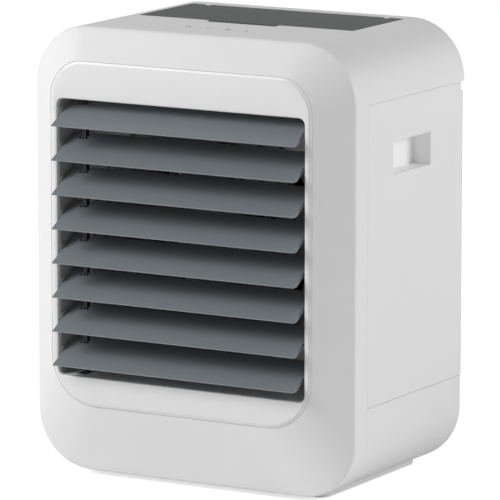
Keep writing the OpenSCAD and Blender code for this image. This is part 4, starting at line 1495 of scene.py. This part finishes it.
def build_stage(stage, colours):
    scene = bpy.context.scene
    scene.view_settings.view_transform = "Standard"
    camera = bpy.data.objects.new("camera", bpy.data.cameras.new("camera"))
    scene.collection.objects.link(camera)
    scene.camera = camera
    camera.data.lens = stage.focal
    camera.data.sensor_width = 36
    camera.data.clip_end = 50
    camera.location = stage.eye
    a, e = stage.azimuth, stage.elevation
    look = Vector((-math.sin(a) * math.cos(e), math.cos(a) * math.cos(e), -math.sin(e)))
    camera.rotation_mode = "QUATERNION"
    camera.rotation_quaternion = look.to_track_quat("-Z", "Y")

    world = bpy.data.worlds.new("white_surroundings")
    scene.world = world
    world.use_nodes = True
    tree = world.node_tree
    height = wire(
        tree, "ShaderNodeSeparateXYZ", {}, {0: wire(tree, "ShaderNodeTexCoord").outputs["Generated"]}
    ).outputs["Z"]
    around = ramp(tree, height, 0.1, 0.8, stage.horizon, stage.zenith)
    seen = wire(tree, "ShaderNodeLightPath").outputs["Is Camera Ray"]
    strength = result(tree, "ShaderNodeMix", {0: seen, 2: around, 3: 1.0})
    tree.nodes["Background"].inputs["Color"].default_value = (1, 1, 1, 1)
    tree.links.new(strength, tree.nodes["Background"].inputs["Strength"])

    material, tree, shader = new_finish("pale_floor", Roughness=0.9)
    seen = wire(tree, "ShaderNodeLightPath").outputs["Is Camera Ray"]
    tree.links.new(
        maths(tree, "MULTIPLY_ADD", seen, stage.lift, stage.glow), shader.inputs["Emission Strength"]
    )
    shader.inputs["Emission Color"].default_value = (1, 1, 1, 1)
    mottle = effect(tree, "tone_drift", {"Color": opaque(colours.floor), "Amount": 0.01})["Color"]
    tree.links.new(mottle, shader.inputs["Base Color"])
    bm = bmesh.new()
    bmesh.ops.create_grid(bm, x_segments=8, y_segments=8, size=12)
    floor = linked_object(bm, "floor")
    floor.data.materials.append(material)
    area_light("key_light", (-1.6, -1.6, 1.5), stage.key)
    area_light("side_light", (2.0, 0.9, 0.9), stage.side)


# ---- operators ----
def sizes():
    return in_mm(bpy.context.scene.cooler_sizes)


class CoolerStageBuild(bpy.types.Operator):
    """Build the finishes, the camera, the lights and the floor"""

    bl_idname = "cooler.stage"
    bl_label = "Stage and finishes"

    def execute(self, context):
        build_shader_groups()
        build_finishes(context.scene.cooler_colours)
        TREES.update(build_trees())
        build_stage(context.scene.cooler_stage, context.scene.cooler_colours)
        return {"FINISHED"}


class CoolerShells(bpy.types.Operator):
    """Build the case shell, the base, the bezel, the rear cassette and the foot plate"""

    bl_idname = "cooler.shells"
    bl_label = "Shells"

    def execute(self, context):
        s = sizes()
        finish(draw_case_shell(s), "case_shell", "shell_white", "case", "main_shell", s["break_edge"])
        finish(draw_base_cover(s), "base_cover", "shell_white", "case", "base_shell", s["break_edge"])
        finish(draw_bezel(s), "bezel_panel", "bezel_white", "case", "bezel")
        # the finger pockets' walls get the paler white as painted light
        pockets = ["shell_white", "pocket_white"]
        moulded("cassette_shell", "rear_cassette", pockets, s["break_edge"], paint_pocket_light)
        # the plate's top takes black plastic as painted shade in the gap under the base
        moulded("base_plate", "foot_plate", ["foot_white", "black_plastic"], 0.4, paint_contact_shade)
        return {"FINISHED"}


class CoolerLouvres(bpy.types.Operator):
    """Build the eight louvre blades and the tie bar"""

    bl_idname = "cooler.louvres"
    bl_label = "Louvres"

    def execute(self, context):
        for node in LOUVRES:
            moulded(node.replace("louvre", "louvre_blade"), node, "louvre_grey", 0.25)
        # the tie bar is black so that it reads as the shade between the blades: painted shade
        moulded("tie_bar", "louvre_tie_bar", "black_plastic", 0.2)
        return {"FINISHED"}


class CoolerLid(bpy.types.Operator):
    """Build the tank's lid"""

    bl_idname = "cooler.lid"
    bl_label = "Lid"

    def execute(self, context):
        moulded("tank_lid", "top_lid", "lid_grey", 0.4)
        return {"FINISHED"}


def build_trees():
    return {
        "copies": tree_copies(), "round_axis": tree_round_axis(), "guard": tree_guard(),
        "pad": tree_pad(), "net": tree_net(), "springs": tree_springs(),
    }


TREES = {}


class CoolerFan(bpy.types.Operator):
    """Build the impeller, the guard, the frame and the motor"""

    bl_idname = "cooler.fan"
    bl_label = "Fan and motor"

    def execute(self, context):
        s = sizes()
        finishes = ["impeller_grey", "ferrite"]
        finish(draw_impeller(s, TREES), "fan_impeller", finishes, body_of("impeller"), "impeller")
        # the guard's dark coat also stands in for the shade behind the louvres
        guard = shifted(
            grown(TREES["guard"], "guard_coat", {"Rings": 9, "First Radius": 14.0}),
            FAN_CENTRE + Vector((0, GUARD_Y, 0)),
        )
        finish(guard, "wire_guard", "guard_coat", "case", "fan_guard")
        core, coils = draw_stator()
        finish(core, "stator_core", "steel", "case", "fan_stator")
        finish(coils, "stator_coils", "copper", "case")
        finish(draw_bearings(), "ball_bearings", "steel", "case", "fan_bearings", 0.1)
        moulded("fan_housing", "fan_frame", "duct_grey", s["break_edge"])
        moulded("motor_shaft", "fan_shaft", "steel", 0.25)
        return {"FINISHED"}


class CoolerFilter(bpy.types.Operator):
    """Build the wet pad, the dust screen, their frame and the drip tray"""

    bl_idname = "cooler.filter"
    bl_label = "Filter and screen"

    def execute(self, context):
        s = sizes()
        body = body_of("filter_pad")
        finish(draw_wet_media(TREES), "wet_media", "wick", body, "filter_pad")
        finish(draw_screen_frame(), "screen_frame", "screen", body, "dust_screen", 0.25)
        finish(draw_screen_net(TREES), "screen_net", "screen", body)
        moulded("media_frame", "filter_frame", "inner_white", s["break_edge"])
        moulded("drip_pan", "drip_tray", "inner_white", s["break_edge"])
        return {"FINISHED"}


class CoolerElectrics(bpy.types.Operator):
    """Build the boards with their parts, the touch springs, the power inlet and the touch marks"""

    bl_idname = "cooler.electrics"
    bl_label = "Boards, springs and marks"

    def execute(self, context):
        parts = ("part_body", "solder", "steel", "copper", "silicone", "black_plastic")
        finish(draw_main_parts(), "main_parts", parts, "case")
        finish(draw_control_parts(), "control_parts", parts, "case")
        for name, node in (("main_circuit", "main_board"), ("touch_circuit", "control_board")):
            low, high = local_box(node)
            board = copy_of(node)
            bottom = low.z if node == "main_board" else high.z - BOARD_T
            cut_to_board(board, bottom, bottom + BOARD_T)
            finish(board, name, "board_green", "case", node, 0.1)
        seats = [
            ((low.x + high.x) / 2, (low.y + high.y) / 2, low.z + 0.1)
            for low, high in solids_of("touch_springs")
        ]
        springs = join(grown(TREES["springs"], "steel", {"Height": 7.6}, seats), draw_spring_caps())
        finish(springs, "spring_coils", "steel", "case", "touch_springs")
        finish(draw_inlet(), "power_socket", ["black_plastic", "solder"], "case", "dc_inlet", 0.3)
        finish(draw_touch_marks(sizes()), "touch_marks", "mark_print", "case")
        return {"FINISHED"}


class CoolerFasteners(bpy.types.Operator):
    """Build the cross recess screws"""

    bl_idname = "cooler.fasteners"
    bl_label = "Screws"

    def execute(self, context):
        sets = {
            "bulkhead_screws": [(3.2, 1.8, 1.35, "rear")],
            "fan_screws": [(3.2, 1.8, 1.6, "rear")],
            "foot_screws": [(3, 1.65, 1.5, "down")],
            "board_screws": [
                (2.4, 1.4, 1.1, "up", lambda low, high: high.z < 100), (
                    2.4, 1.4, 1.1, "down", lambda low, high: low.z > 100
                ),
            ],
        }
        for node, kinds in sets.items():
            bm = screws_at(node, TREES, *kinds[0])
            for kind in kinds[1:]:
                join(bm, screws_at(node, TREES, *kind))
            finish(bm, node.replace("screws", "cross_screws"), "steel", "case", node, smooth=40)
        return {"FINISHED"}


MOULDED = (
    ("pivot_bushes", "louvre_bushes", "duct_grey", 0.15),
    ("inner_bulkhead", "bulkhead", "inner_white", 0.3), (
        "slide_rails", "cassette_rails", "inner_white", 0.3
    ),
    ("water_sump", "sump_tray", "inner_white", 0.5), ("tank_body", "water_tank", "tank_clear", 0.6),
    ("nozzles", "drip_nozzles", "inner_white", 0.2), ("lid_seal", "lid_gasket", "silicone", 0.4),
    ("hinge_pins", "lid_pins", "steel", 0.2), ("flat_cable", "ribbon_cable", "ribbon", 0.1),
)


class CoolerInside(bpy.types.Operator):
    """Build the duct, the louvre bushes, the other moulded parts inside, and the feet"""

    bl_idname = "cooler.inside"
    bl_label = "Parts inside and feet"

    def execute(self, context):
        for name, node, finish_name, break_edge in MOULDED:
            moulded(name, node, finish_name, break_edge)
        # the duct's floor under the outlet gets the paler white as painted light
        moulded("outlet_duct", "air_duct", ["duct_grey", "pocket_white"], 0.3, paint_sill_light)
        finish(draw_feet(), "turned_feet", "rubber_grey", "case", "rubber_feet")
        return {"FINISHED"}


class CoolerPanel(bpy.types.Panel):
    """Sizes, colours and the build steps"""

    bl_idname = "VIEW3D_PT_cooler"
    bl_label = "Air cooler"
    bl_space_type = "VIEW_3D"
    bl_region_type = "UI"
    bl_category = "Cooler"

    def draw(self, context):
        for step in STEPS:
            self.layout.operator(step.bl_idname)
        for group in (context.scene.cooler_sizes, context.scene.cooler_colours, context.scene.cooler_stage):
            for key in group.__annotations__:
                self.layout.prop(group, key)


STEPS = (
    CoolerStageBuild, CoolerShells, CoolerLouvres, CoolerLid, CoolerFan, CoolerFilter, CoolerElectrics,
    CoolerFasteners, CoolerInside,
)
CLASSES = (CoolerSizes, CoolerColours, CoolerStage, *STEPS, CoolerPanel)


def register():
    for cls in CLASSES:
        bpy.utils.register_class(cls)
    bpy.types.Scene.cooler_sizes = bpy.props.PointerProperty(type=CoolerSizes)
    bpy.types.Scene.cooler_colours = bpy.props.PointerProperty(type=CoolerColours)
    bpy.types.Scene.cooler_stage = bpy.props.PointerProperty(type=CoolerStage)


def unregister():
    for cls in reversed(CLASSES):
        bpy.utils.unregister_class(cls)
    del bpy.types.Scene.cooler_sizes
    del bpy.types.Scene.cooler_colours
    del bpy.types.Scene.cooler_stage


def main():
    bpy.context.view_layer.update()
    register()
    for step in STEPS:
        group, name = step.bl_idname.split(".")
        getattr(getattr(bpy.ops, group), name)()


if __name__ == "__main__":
    main()
